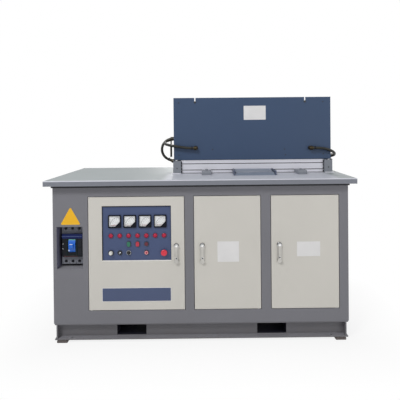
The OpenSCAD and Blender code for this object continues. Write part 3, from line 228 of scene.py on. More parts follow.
def noise(tree, place, width, detail=2.0, stretch=(1, 1, 1)):
    """Noise whose blotches are about width metres across."""
    stretched = add(tree, "ShaderNodeMapping", None, {"Vector": place, "Scale": stretch})
    return add(tree, "ShaderNodeTexNoise", None, {
        "Vector": stretched.outputs["Vector"], "Scale": 1 / width, "Detail": detail}).outputs["Fac"]


def layered(tree, colour, *layers):
    """A colour with others laid over it in turn, each after the share of it that shows."""
    for share, over in layers:
        colour = add(tree, "ShaderNodeMix", {"data_type": "RGBA"},
                     {0: share, 6: colour, 7: over}).outputs[2]
    return colour


def near_edge(tree, soft):
    """One at an edge and nought away from it, by how far the rounded normal leaves the true one."""
    true = add(tree, "ShaderNodeNewGeometry").outputs["Normal"]
    same = add(tree, "ShaderNodeVectorMath", {"operation": "DOT_PRODUCT"}, {0: soft, 1: true})
    return add(tree, "ShaderNodeMapRange", None, {
        "Value": same.outputs["Value"], "From Min": 0.86, "From Max": 0.998,
        "To Min": 1, "To Max": 0}).outputs["Result"]


def link(tree, socket, shader, name):
    """Joins a socket to a shader's input."""
    tree.links.new(socket, shader.inputs[name])


def two_tones(tree, shader, pattern, first, second):
    """A base colour that wavers between two tones with a pattern."""
    share = add(tree, "ShaderNodeMapRange", None, {"Value": pattern, "From Min": 0.3, "From Max": 0.7})
    link(tree, layered(tree, first, (share.outputs["Result"], second)), shader, "Base Color")


def uneven_gloss(tree, shader, pattern, lowest, highest):
    """A roughness that wavers between two values with a pattern."""
    rough = add(tree, "ShaderNodeMapRange", None, {
        "Value": pattern, "From Min": 0.3, "From Max": 0.7, "To Min": lowest, "To Max": highest})
    link(tree, rough.outputs["Result"], shader, "Roughness")


def worked_surface(tree, shader, edge, grain=None, depth=0.0):
    """Edges rounded over a radius of edge metres, under a grain: returns the rounded normal."""
    soft = add(tree, "ShaderNodeBevel", {"samples": 6}, {"Radius": edge}).outputs["Normal"]
    normal = soft
    if grain is not None:
        normal = add(tree, "ShaderNodeBump", None,
                     {"Height": grain, "Distance": depth, "Normal": soft}).outputs["Normal"]
    link(tree, normal, shader, "Normal")
    return soft


def inside(tree, place, **spans):
    """One inside a box and nought outside it.

    Each axis's span is its start, its end, and how far it fades beyond them, in metres.
    """
    apart = add(tree, "ShaderNodeSeparateXYZ", None, {"Vector": place})
    share = 1
    for axis, (start, end, fade) in spans.items():
        rise = add(tree, "ShaderNodeMapRange", None,
                   {"Value": apart.outputs[axis], "From Min": start - fade, "From Max": start})
        fall = add(tree, "ShaderNodeMapRange", None, {
            "Value": apart.outputs[axis], "From Min": end, "From Max": end + fade,
            "To Min": 1, "To Max": 0})
        both = add(tree, "ShaderNodeMath", {"operation": "MULTIPLY"},
                   {0: rise.outputs["Result"], 1: fall.outputs["Result"]})
        share = add(tree, "ShaderNodeMath", {"operation": "MULTIPLY"},
                    {0: share, 1: both.outputs[0]}).outputs[0]
    return share


# Finishes

def enamel(name, colour, roughness, sizes, dust=0.0, edge_highlight=1.12, lit_top=None, smear=0.03,
           rubbed=None, pockets=None, front_edge_highlight=None):
    """Sprayed and baked enamel: an even colour, a soft sheen broken by orange peel, and a painted
    highlight along its edges.

    lit_top is the paler colour painted on what faces up, as painted light, and dust is how much floor
    dust the foot holds. rubbed is a colour, and the left, right, front and rear of a painted reflection
    of the bed. pockets are as FORK_POCKETS, in metres, and mark painted shade in the fork pockets.
    front_edge_highlight is the front and the top of an edge with a painted highlight.
    """
    made, tree, shader, place = new_finish(name, specular_ior_level=0.45)
    peel = noise(tree, place, sizes.peel, 1.0)
    soft = worked_surface(tree, shader, sizes.edge, peel, 0.05 * MM)
    wiped = noise(tree, place, 300 * MM, 2.0, (1, 1, 0.35))
    uneven_gloss(tree, shader, wiped, roughness - smear, roughness + smear)
    clouds = add(tree, "ShaderNodeMapRange", None, {
        "Value": noise(tree, place, 450 * MM, 3.0), "From Min": 0.3, "From Max": 0.7})
    clouds = clouds.outputs["Result"]
    layers = [(clouds, shade(colour, 1.025))]
    if lit_top is not None:
        # Painted light: faces that look up are drawn in a paler colour, as if lit from above
        facing = add(tree, "ShaderNodeNewGeometry").outputs["Normal"]
        upward = add(tree, "ShaderNodeSeparateXYZ", None, {"Vector": facing}).outputs["Z"]
        level = add(tree, "ShaderNodeMapRange", None,
                    {"Value": upward, "From Min": 0.6, "From Max": 0.9})
        lit_top_tone = layered(tree, shade(lit_top, 0.96), (clouds, shade(lit_top, 1.04)))
        if rubbed is not None:
            # Painted reflection: a paler zone on the tabletop in front of the bed, as if the bed were
            # mirrored in it
            bright, left, right, front, rear = rubbed
            reflection_zone = inside(tree, place, X=(left, right, 50 * MM), Y=(front, rear, 30 * MM))
            streak = add(tree, "ShaderNodeMapRange", None, {
                "Value": noise(tree, place, 200 * MM, 2.0, (0.3, 1, 1)),
                "From Min": 0.3, "From Max": 0.7, "To Min": 0.86})
            share = add(tree, "ShaderNodeMath", {"operation": "MULTIPLY"},
                        {0: reflection_zone, 1: streak.outputs["Result"]})
            lit_top_tone = layered(tree, lit_top_tone, (share.outputs[0], shade(bright, 1)))
        layers.append((level.outputs["Result"], lit_top_tone))
    if dust:
        # Floor dust thins out over the lowest 160 mm
        height = add(tree, "ShaderNodeSeparateXYZ", None, {"Vector": place}).outputs["Z"]
        thinned = add(tree, "ShaderNodeMapRange", None,
                      {"Value": height, "From Max": 160 * MM, "To Min": dust, "To Max": 0})
        speck = add(tree, "ShaderNodeMapRange", None, {
            "Value": noise(tree, place, 30 * MM, 4.0), "From Min": 0.3, "From Max": 0.7, "To Min": 0.3})
        held = add(tree, "ShaderNodeMath", {"operation": "MULTIPLY"},
                   {0: thinned.outputs["Result"], 1: speck.outputs["Result"]})
        layers.append((held.outputs[0], opaque("#6B625A")))
    # Painted highlight: the enamel is drawn paler where its edges are rounded, as if they caught the
    # light
    edge = add(tree, "ShaderNodeMapRange", None, {"Value": near_edge(tree, soft), "To Max": 0.8})
    layers.append((edge.outputs["Result"], shade(colour, edge_highlight)))
    if front_edge_highlight is not None:
        # Painted highlight along the upper front edge
        front, top = front_edge_highlight
        edge_highlight_band = inside(tree, place, Y=(front - 1 * MM, front + 9 * MM, 2 * MM),
                          Z=(top - 5 * MM, top + 1 * MM, 1 * MM))
        layers.append((edge_highlight_band, opaque("#CBCDD6")))
    if pockets is not None:
        # Painted shade: the inside of the fork pockets is drawn near black
        middle_x, half, floor, roof, depth = pockets
        mirrored = add(tree, "ShaderNodeVectorMath", {"operation": "ABSOLUTE"}, {0: place})
        bare = inside(tree, mirrored.outputs[0], X=(middle_x - half, middle_x + half, 0.2 * MM),
                      Y=(-depth, depth, 0.2 * MM), Z=(floor, roof, 0.2 * MM))
        layers.append((bare, opaque("#1C1C28")))
    link(tree, layered(tree, shade(colour, 0.975), *layers), shader, "Base Color")
    return made


def zinc_sheet(sizes):
    """Galvanised sheet: a dull silver with faint crystals a centimetre or two across."""
    made, tree, shader, place = new_finish("galvanised_sheet", metallic=0.85)
    crystal = 18 * MM
    cells = add(tree, "ShaderNodeTexVoronoi", None, {"Vector": place, "Scale": 1 / crystal})
    tone = add(tree, "ShaderNodeSeparateXYZ", None, {"Vector": cells.outputs["Color"]}).outputs["X"]
    link(tree, layered(tree, opaque("#8F9498"), (tone, opaque("#A7ABAF"))), shader, "Base Color")
    rough = add(tree, "ShaderNodeMapRange", None, {"Value": tone, "To Min": 0.42, "To Max": 0.55})
    link(tree, rough.outputs["Result"], shader, "Roughness")
    worked_surface(tree, shader, sizes.edge / 2)
    return made


def bright_metal(name, code, roughness, width=0.5 * MM, stretch=(1, 1, 1), edge=0.6 * MM):
    """Plated or machined metal: mirror-like, with fine marks that follow how it was worked."""
    made, tree, shader, place = new_finish(name, metallic=1.0)
    marks = noise(tree, place, width, 3.0, stretch)
    stain = noise(tree, place, 40 * MM, 3.0)
    colour = linear(code)
    two_tones(tree, shader, stain, shade(colour, 0.9), shade(colour, 1.05))
    uneven_gloss(tree, shader, marks, roughness * 0.75, roughness * 1.3)
    worked_surface(tree, shader, edge, marks, 0.01 * MM)
    return made


def extruded_aluminium(sizes):
    """Natural anodised extrusion: pale satin silver, with die lines along its length."""
    made, tree, shader, place = new_finish("anodised_extrusion", metallic=0.2)
    # Die lines are 0.3 mm apart, drawn 4 mm apart so that they show
    lines = noise(tree, place, 4 * MM, 2.0, (0.01, 1, 1))
    two_tones(tree, shader, lines, opaque("#D2D2DA"), opaque("#D8D8E0"))
    uneven_gloss(tree, shader, lines, 0.34, 0.5)
    worked_surface(tree, shader, sizes.edge, lines, 0.005 * MM)
    return made


def moulded(name, code, roughness, coat=0.0, grain=0.8 * MM, gloss=0.5):
    """Moulded plastic: an even colour under a fine spark-eroded grain, rounded at its edges."""
    made, tree, shader, place = new_finish(name, coat_weight=coat, coat_roughness=0.08,
                                           specular_ior_level=gloss)
    colour = linear(code)
    clouds = noise(tree, place, 30 * MM, 2.0)
    two_tones(tree, shader, clouds, shade(colour, 0.92), shade(colour, 1.08))
    pits = noise(tree, place, grain, 2.0)
    uneven_gloss(tree, shader, pits, roughness - 0.04, roughness + 0.06)
    worked_surface(tree, shader, 0.8 * MM, pits, 0.015 * MM)
    return made


def vinyl(name, code, roughness=0.45):
    """Printed vinyl of a bare label plate: one flat colour under a faint haze."""
    made, tree, shader, place = new_finish(name, specular_ior_level=0.4)
    colour = linear(code)
    haze = noise(tree, place, 80 * MM, 1.0)
    two_tones(tree, shader, haze, shade(colour, 0.98), shade(colour, 1.02))
    uneven_gloss(tree, shader, haze, roughness - 0.03, roughness + 0.03)
    worked_surface(tree, shader, 0.4 * MM)
    return made


def lamp_lens(colour, name="red_lamp_lens"):
    """Moulded lens of a pilot lamp: deep in colour, under a soft gloss with a faint ripple."""
    made, tree, shader, place = new_finish(name, roughness=0.3, specular_ior_level=0.3,
                                           coat_weight=0.25, coat_roughness=0.12)
    ripple = noise(tree, place, 3 * MM, 1.0)
    two_tones(tree, shader, ripple, shade(colour, 0.75), shade(colour, 1.15))
    worked_surface(tree, shader, 1.5 * MM, ripple, 0.1 * MM)
    return made


def window_glass():
    """Clear window over a meter's dial: nearly unseen, with a light gloss."""
    made, tree, shader, place = new_finish("meter_window", roughness=0.06, alpha=0.1, ior=1.49)
    dust = noise(tree, place, 6 * MM, 3.0)
    two_tones(tree, shader, dust, opaque("#D8E0E4"), opaque("#F0F4F6"))
    return made


def rubber():
    """Black water hose: matt rubber with the faint weave of the cloth it was cured in."""
    made, tree, shader, place = new_finish("black_hose_rubber", specular_ior_level=0.35)
    blotch = noise(tree, place, 30 * MM, 3.0)
    two_tones(tree, shader, blotch, opaque("#1B1B17"), opaque("#2A2A23"))
    uneven_gloss(tree, shader, blotch, 0.35, 0.55)
    weave = noise(tree, place, 1.5 * MM, 2.0)
    wrap = add(tree, "ShaderNodeBump", None, {"Height": weave, "Distance": 0.12 * MM})
    link(tree, wrap.outputs["Normal"], shader, "Normal")
    return made


def coarse(name, darker, paler, width, roughness=0.75, stretch=(1, 1, 1)):
    """Pressed heat board, cast lining, cast iron or varnished core: two tones in a coarse grain."""
    made, tree, shader, place = new_finish(name, specular_ior_level=0.3)
    grain = noise(tree, place, width, 5.0, stretch)
    two_tones(tree, shader, grain, opaque(darker), opaque(paler))
    uneven_gloss(tree, shader, grain, roughness - 0.1, roughness + 0.1)
    worked_surface(tree, shader, 1 * MM, grain, 0.15 * MM)
    return made


def breaker_moulding(face_low, header_low, face_high):
    """Moulded breaker body: a near-black face with a navy header, between grey terminal covers.

    The three heights, in metres, are where the face, its header and the upper cover begin.
    """
    made, tree, shader, place = new_finish("breaker_moulding", specular_ior_level=0.2)
    height = add(tree, "ShaderNodeSeparateXYZ", None, {"Vector": place}).outputs["Z"]
    above = add(tree, "ShaderNodeMath", {"operation": "GREATER_THAN"}, {0: height, 1: face_high})
    below = add(tree, "ShaderNodeMath", {"operation": "LESS_THAN"}, {0: height, 1: face_low})
    cover = add(tree, "ShaderNodeMath", {"operation": "ADD"},
                {0: above.outputs[0], 1: below.outputs[0]})
    header = add(tree, "ShaderNodeMath", {"operation": "GREATER_THAN"}, {0: height, 1: header_low})
    tones = layered(tree, opaque("#0D1118"), (header.outputs[0], opaque("#0F1E50")),
                    (cover.outputs[0], opaque("#787A82")))
    link(tree, tones, shader, "Base Color")
    pits = noise(tree, place, 0.8 * MM, 2.0)
    uneven_gloss(tree, shader, pits, 0.4, 0.52)
    worked_surface(tree, shader, 1 * MM, pits, 0.02 * MM)
    return made


def toggle_moulding(green_low):
    """Blue moulded toggle whose top is tinted green, so that its place shows."""
    made, tree, shader, place = new_finish("blue_toggle_plastic", coat_weight=0.1, coat_roughness=0.1)
    height = add(tree, "ShaderNodeSeparateXYZ", None, {"Vector": place}).outputs["Z"]
    top = add(tree, "ShaderNodeMapRange", None,
              {"Value": height, "From Min": green_low, "From Max": green_low + 3 * MM})
    tones = layered(tree, opaque("#0B62C8"), (top.outputs["Result"], opaque("#1B8672")))
    link(tree, tones, shader, "Base Color")
    pits = noise(tree, place, 0.8 * MM, 2.0)
    uneven_gloss(tree, shader, pits, 0.3, 0.42)
    worked_surface(tree, shader, 0.8 * MM, pits, 0.015 * MM)
    return made


def dress(material, *nodes):
    """Gives CAD nodes a finish."""
    for name in nodes:
        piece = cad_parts[name]
        if not piece.material_slots:
            piece.data.materials.append(material)
        for held in piece.material_slots:
            held.material = material


def finish_named(name):
    """A finish that an earlier step has made."""
    return bpy.data.materials[name]


# Tools for pieces

def place_piece(name, mesh, body, material, smooth=False):
    """Makes an object of a mesh whose points are already in place, riding on a body.

    A mesh that comes from a tree has its material, and is given None.
    """
    piece = bpy.data.objects.new(name, mesh)
    bpy.context.scene.collection.objects.link(piece)
    if material is not None:
        mesh.materials.append(material)
    for face in mesh.polygons:
        face.use_smooth = smooth
    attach(piece, body)
    return piece


def mesh_from(form, name):
    """Turns a bmesh into a mesh with its normals facing out."""
    bmesh.ops.remove_doubles(form, verts=form.verts, dist=1e-6)
    bmesh.ops.recalc_face_normals(form, faces=form.faces)
    mesh = bpy.data.meshes.new(name)
    form.to_mesh(mesh)
    form.free()
    return mesh


def rounded_outline(width, height, radius, steps=5):
    """Corner points of a rectangle with rounded corners, about its middle."""
    points = []
    for quarter, (sx, sz) in enumerate(((1, 1), (-1, 1), (-1, -1), (1, -1))):
        for step in range(steps + 1):
            angle = math.radians(90 * (quarter + step / steps))
            points.append((sx * (width / 2 - radius) + radius * math.cos(angle),
                           sz * (height / 2 - radius) + radius * math.sin(angle)))
    return points


def join_loops(form, first, second):
    """Faces between two closed loops of as many points."""
    count = len(first)
    for i in range(count):
        j = (i + 1) % count
        form.faces.new((first[i], first[j], second[j], second[i]))


def add_plate(form, outline, centre, back, thickness, chamfer):
    """A flat plate facing -Y: its outline in X and Z, its back at back, its front edge chamfered."""
    front = back - thickness
    reach = max(math.hypot(x, z) for x, z in outline)
    layers = []
    for y, inset in ((back, 0), (front + chamfer, 0), (front, chamfer)):
        scale = 1 - inset / reach
        layers.append([form.verts.new((centre[0] + x * scale, y, centre[1] + z * scale))
                       for x, z in outline])
    for first, second in zip(layers, layers[1:]):
        join_loops(form, first, second)
    form.faces.new(layers[0])
    form.faces.new(list(reversed(layers[-1])))


def add_turned(form, centre, outline, steps=32, start=0.0, sweep=360.0):
    """Turns a closed outline of radius and y, in millimetres, round a line along Y.

    The line passes through centre, x and z in millimetres.
    """
    whole = sweep >= 360
    slices = []
    for step in range(steps if whole else steps + 1):
        angle = math.radians(start + sweep * step / steps)
        slices.append([form.verts.new(((centre[0] + radius * math.cos(angle)) * MM, y * MM,
                                       (centre[1] + radius * math.sin(angle)) * MM))
                       for radius, y in outline])
    for first, second in zip(slices, slices[1:]):
        join_loops(form, first, second)
    if whole:
        join_loops(form, slices[-1], slices[0])
    else:
        form.faces.new(slices[0])
        form.faces.new(list(reversed(slices[-1])))


def turned_pieces(name, centres, outline, body, material, slot, smooth=True, **turn):
    """Like turned pieces on one body, as one mesh."""
    form = bmesh.new()
    for centre in centres:
        add_turned(form, centre, outline, **turn)
    return place_piece(name, mesh_from(form, name), body, material, smooth)


def add_bar(form, start, end, edge):
    """A bar between two corners in millimetres, its edges broken by edge."""
    made = bmesh.ops.create_cube(form, size=1.0)["verts"]
    a, b = Vector(start) * MM, Vector(end) * MM
    bmesh.ops.scale(form, verts=made, vec=b - a)
    bmesh.ops.translate(form, verts=made, vec=(a + b) / 2)
    edges = list({e for v in made for e in v.link_edges})
    bmesh.ops.bevel(form, geom=edges, offset=edge * MM, segments=2, profile=0.5, affect="EDGES")


def bar_pieces(name, spans, edge, body, material):
    """Like bars on one body, as one mesh: each span holds its lowest and highest corner."""
    form = bmesh.new()
    for start, end in spans:
        add_bar(form, start, end, edge)
    return place_piece(name, mesh_from(form, name), body, material)


def smooth_route(points, steps=4):
    """Points in metres along a smooth line through a route in millimetres."""
    route = [Vector(p) * MM for p in points]
    ends = [2 * route[0] - route[1], *route, 2 * route[-1] - route[-2]]
    line = []
    for a, b, c, d in zip(ends, ends[1:], ends[2:], ends[3:]):
        for step in range(steps):
            t = step / steps
            line.append(0.5 * ((2 * b) + (c - a) * t + (2 * a - 5 * b + 4 * c - d) * t * t
                               + (3 * b - a - 3 * c + d) * t ** 3))
    return line + [route[-1]]


def evaluated(name, base, tree, values, body, smooth=False):
    """Runs a tree on a mesh and keeps its result as a plain mesh."""
    source = bpy.data.objects.new(name + "_source", base)
    bpy.context.scene.collection.objects.link(source)
    run = source.modifiers.new("tree", "NODES")
    run.node_group = tree
    for item in tree.interface.items_tree:
        if item.item_type == "SOCKET" and item.in_out == "INPUT" and item.name in values:
            run[item.identifier] = values[item.name]
    graph = bpy.context.evaluated_depsgraph_get()
    mesh = bpy.data.meshes.new_from_object(source.evaluated_get(graph))
    mesh.name = name
    bpy.data.objects.remove(source)
    return place_piece(name, mesh, body, None, smooth)


def new_tree(name, inputs):
    """A Geometry Nodes tree with named inputs, its first node and its last."""
    tree = bpy.data.node_groups.new(name, "GeometryNodeTree")
    tree.interface.new_socket("Geometry", in_out="INPUT", socket_type="NodeSocketGeometry")
    for label, kind, default in inputs:
        made = tree.interface.new_socket(label, in_out="INPUT", socket_type=kind)
        if default is not None:
            made.default_value = default
    tree.interface.new_socket("Geometry", in_out="OUTPUT", socket_type="NodeSocketGeometry")
    return tree, tree.nodes.new("NodeGroupInput"), tree.nodes.new("NodeGroupOutput")


def end_tree(tree, geometry, material, last, smooth=False):
    """Realize Instances and Set Material, which every tree ends in."""
    solid = add(tree, "GeometryNodeRealizeInstances", None, {"Geometry": geometry}).outputs[0]
    if smooth:
        solid = add(tree, "GeometryNodeSetShadeSmooth", None, {"Geometry": solid}).outputs[0]
    done = add(tree, "GeometryNodeSetMaterial", None, {"Geometry": solid, "Material": material})
    tree.links.new(done.outputs[0], last.inputs[0])


def heads_on_points(tree, first, head, last):
    """Sets a head on every point, turned as Facing says, and ends the tree."""
    spots = add(tree, "GeometryNodeMeshToPoints", None, {"Mesh": first.outputs["Geometry"]})
    turned = add(tree, "FunctionNodeEulerToRotation", None, {"Euler": first.outputs["Facing"]})
    placed = add(tree, "GeometryNodeInstanceOnPoints", None, {
        "Points": spots.outputs[0], "Instance": head, "Rotation": turned.outputs[0]})
    end_tree(tree, placed.outputs[0], first.outputs["Finish"], last)


def points_mesh(name, points):
    """A mesh of single points, given in millimetres."""
    mesh = bpy.data.meshes.new(name)
    mesh.from_pydata([tuple(c * MM for c in p) for p in points], [], [])
    return mesh


def line_mesh(name, points):
    """A mesh of one open line of edges through points in metres."""
    mesh = bpy.data.meshes.new(name)
    mesh.from_pydata([tuple(p) for p in points], [(i, i + 1) for i in range(len(points) - 1)], [])
    return mesh


def screw_tree():
    """A cross-head screw on every point: a low domed head with its two slots cut in."""
    tree, first, last = new_tree("screw_heads", (
        ("Radius", "NodeSocketFloat", 4.5 * MM), ("Height", "NodeSocketFloat", 2 * MM),
        ("Slot", "NodeSocketFloat", 1.2 * MM), ("Facing", "NodeSocketVector", (math.pi / 2, 0, 0)),
        ("Finish", "NodeSocketMaterial", None)))
    radius = first.outputs["Radius"]
    height = first.outputs["Height"]
    base = add(tree, "GeometryNodeMeshCylinder", {"fill_type": "NGON"},
               {"Vertices": 20, "Radius": radius, "Depth": height})
    crown_radius = add(tree, "ShaderNodeMath", {"operation": "MULTIPLY"}, {0: radius, 1: 0.72})
    crown_lift = add(tree, "ShaderNodeMath", {"operation": "MULTIPLY"}, {0: height, 1: 0.3})
    lift = add(tree, "ShaderNodeCombineXYZ", None, {"Z": crown_lift.outputs[0]})
    crown = add(tree, "GeometryNodeMeshCylinder", {"fill_type": "NGON"},
                {"Vertices": 20, "Radius": crown_radius.outputs[0], "Depth": height})
    crown = add(tree, "GeometryNodeTransform", None,
                {"Geometry": crown.outputs["Mesh"], "Translation": lift.outputs[0]})
    head = add(tree, "GeometryNodeMeshBoolean", {"operation": "UNION"}, {})
    tree.links.new(base.outputs["Mesh"], head.inputs["Mesh 2"])
    tree.links.new(crown.outputs[0], head.inputs["Mesh 2"])
    slot_length = add(tree, "ShaderNodeMath", {"operation": "MULTIPLY"}, {0: radius, 1: 1.15})
    slot_lift = add(tree, "ShaderNodeCombineXYZ", None, {"Z": height})
    cut = head.outputs["Mesh"]
    sides = (slot_length.outputs[0], first.outputs["Slot"])
    for along, across in (sides, reversed(sides)):
        size = add(tree, "ShaderNodeCombineXYZ", None, {"X": along, "Y": across, "Z": height})
        bar = add(tree, "GeometryNodeMeshCube", None, {"Size": size.outputs[0]})
        bar = add(tree, "GeometryNodeTransform", None,
                  {"Geometry": bar.outputs["Mesh"], "Translation": slot_lift.outputs[0]})
        cutter = add(tree, "GeometryNodeMeshBoolean", {"operation": "DIFFERENCE"}, {"Mesh 1": cut})
        tree.links.new(bar.outputs[0], cutter.inputs["Mesh 2"])
        cut = cutter.outputs["Mesh"]
    heads_on_points(tree, first, cut, last)
    return tree


def bolt_tree():
    """A hexagon bolt head on a washer, on every point."""
    tree, first, last = new_tree("hexagon_heads", (
        ("Radius", "NodeSocketFloat", 6 * MM), ("Height", "NodeSocketFloat", 4 * MM),
        ("Facing", "NodeSocketVector", (math.pi / 2, 0, 0)), ("Finish", "NodeSocketMaterial", None)))
    radius = first.outputs["Radius"]
    height = first.outputs["Height"]
    washer_radius = add(tree, "ShaderNodeMath", {"operation": "MULTIPLY"}, {0: radius, 1: 1.35})
    washer = add(tree, "GeometryNodeMeshCylinder", {"fill_type": "NGON"},
                 {"Vertices": 24, "Radius": washer_radius.outputs[0], "Depth": 1.5 * MM})
    half = add(tree, "ShaderNodeMath", {"operation": "MULTIPLY"}, {0: height, 1: 0.5})
    lift = add(tree, "ShaderNodeCombineXYZ", None, {"Z": half.outputs[0]})
    head = add(tree, "GeometryNodeMeshCylinder", {"fill_type": "NGON"},
               {"Vertices": 6, "Radius": radius, "Depth": height})
    head = add(tree, "GeometryNodeTransform", None,
               {"Geometry": head.outputs["Mesh"], "Translation": lift.outputs[0]})
    both = add(tree, "GeometryNodeJoinGeometry", None, {})
    tree.links.new(washer.outputs["Mesh"], both.inputs[0])
    tree.links.new(head.outputs[0], both.inputs[0])
    heads_on_points(tree, first, both.outputs[0], last)
    return tree


def tube_tree():
    """A round tube along a line of edges."""
    tree, first, last = new_tree("tube_along_line", (
        ("Radius", "NodeSocketFloat", 5 * MM), ("Sides", "NodeSocketInt", 16),
        ("Finish", "NodeSocketMaterial", None)))
    path = add(tree, "GeometryNodeMeshToCurve", None, {"Mesh": first.outputs["Geometry"]})
    ring = add(tree, "GeometryNodeCurvePrimitiveCircle", None,
               {"Resolution": first.outputs["Sides"], "Radius": first.outputs["Radius"]})
    tube = add(tree, "GeometryNodeCurveToMesh", None,
               {"Curve": path.outputs[0], "Profile Curve": ring.outputs["Curve"], "Fill Caps": True})
    end_tree(tree, tube.outputs[0], first.outputs["Finish"], last, smooth=True)
    return tree


def tick_tree():
    """Printed strokes in a fan round every point, each turned towards it."""
    tree, first, last = new_tree("scale_strokes", (
        ("Count", "NodeSocketInt", 11), ("Radius", "NodeSocketFloat", 48 * MM),
        ("Start", "NodeSocketFloat", math.pi), ("Sweep", "NodeSocketFloat", -math.pi / 2),
        ("Length", "NodeSocketFloat", 5 * MM), ("Width", "NodeSocketFloat", 0.8 * MM),
        ("Depth", "NodeSocketFloat", 0.1 * MM), ("Finish", "NodeSocketMaterial", None)))
    centres = add(tree, "GeometryNodeMeshToPoints", None, {"Mesh": first.outputs["Geometry"]})
    size = add(tree, "ShaderNodeCombineXYZ", None,
               {"X": first.outputs["Length"], "Y": first.outputs["Depth"], "Z": first.outputs["Width"]})
    stroke = add(tree, "GeometryNodeMeshCube", None, {"Size": size.outputs[0]})
    out = add(tree, "ShaderNodeCombineXYZ", None, {"X": first.outputs["Radius"]})
    stroke = add(tree, "GeometryNodeTransform", None,
                 {"Geometry": stroke.outputs["Mesh"], "Translation": out.outputs[0]})
    row = add(tree, "GeometryNodeMeshLine", {"mode": "OFFSET"},
              {"Count": first.outputs["Count"], "Offset": (0, 0, 0)})
    index = add(tree, "GeometryNodeInputIndex")
    last_index = add(tree, "ShaderNodeMath", {"operation": "SUBTRACT"},
                     {0: first.outputs["Count"], 1: 1})
    share = add(tree, "ShaderNodeMath", {"operation": "DIVIDE"},
                {0: index.outputs[0], 1: last_index.outputs[0]})
    turn = add(tree, "ShaderNodeMath", {"operation": "MULTIPLY_ADD"},
               {0: share.outputs[0], 1: first.outputs["Sweep"], 2: first.outputs["Start"]})
    # A turn about +Y runs clockwise seen from the front, so the angle is negated
    back = add(tree, "ShaderNodeMath", {"operation": "MULTIPLY"}, {0: turn.outputs[0], 1: -1})
    euler = add(tree, "ShaderNodeCombineXYZ", None, {"Y": back.outputs[0]})
    turned = add(tree, "FunctionNodeEulerToRotation", None, {"Euler": euler.outputs[0]})
    fan = add(tree, "GeometryNodeInstanceOnPoints", None,
              {"Points": row.outputs[0], "Instance": stroke.outputs[0], "Rotation": turned.outputs[0]})
    placed = add(tree, "GeometryNodeInstanceOnPoints", None,
                 {"Points": centres.outputs[0], "Instance": fan.outputs[0]})
    end_tree(tree, placed.outputs[0], first.outputs["Finish"], last)
    return tree


def tree_named(name, maker):
    """A tree by its name, made the first time that it is asked for."""
    return bpy.data.node_groups.get(name) or maker()


# Operators

class HEATER_OT_camera(bpy.types.Operator):
    """Set the camera where the picture was taken from"""
    bl_idname = "heater.camera"
    bl_label = "Camera"

    def execute(self, context):
        wanted = context.scene.heater_view
        forward = Vector((math.sin(wanted.yaw) * math.cos(wanted.pitch),
                          math.cos(wanted.yaw) * math.cos(wanted.pitch), math.sin(wanted.pitch)))
        side = Vector((math.cos(wanted.yaw), -math.sin(wanted.yaw), 0))
        top = side.cross(forward)
        right = side * math.cos(wanted.roll) + top * math.sin(wanted.roll)
        up = top * math.cos(wanted.roll) - side * math.sin(wanted.roll)
        data = bpy.data.cameras.new("camera")
        data.sensor_fit = "HORIZONTAL"
        data.sensor_width = 36
        data.lens = wanted.lens
        data.shift_x, data.shift_y = wanted.shift
        camera = bpy.data.objects.new("camera", data)
        context.scene.collection.objects.link(camera)
        turn = Matrix((right, up, -forward)).transposed().to_4x4()
        camera.matrix_world = Matrix.Translation(wanted.place) @ turn
        context.scene.camera = camera
        return {"FINISHED"}


def soft_lamp(name, place, aim, size, power):
    """A white area lamp that faces a place: metres and watts."""
    data = bpy.data.lights.new(name, "AREA")
    data.shape = "RECTANGLE"
    data.size, data.size_y = size
    data.energy = power
    lamp = bpy.data.objects.new(name, data)
    bpy.context.scene.collection.objects.link(lamp)
    lamp.location = place
    lamp.rotation_mode = "QUATERNION"
    lamp.rotation_quaternion = (Vector(aim) - Vector(place)).to_track_quat("-Z", "Y")


def seen_plainly(tree):
    """One where a ray comes from the camera, a gloss or a clear pane, and nought elsewhere."""
    path = add(tree, "ShaderNodeLightPath")
    total = add(tree, "ShaderNodeMath", {"operation": "ADD"},
                {0: path.outputs["Is Camera Ray"], 1: path.outputs["Is Glossy Ray"]})
    return add(tree, "ShaderNodeMath", {"operation": "ADD", "use_clamp": True},
               {0: total.outputs[0], 1: path.outputs["Is Transmission Ray"]}).outputs[0]


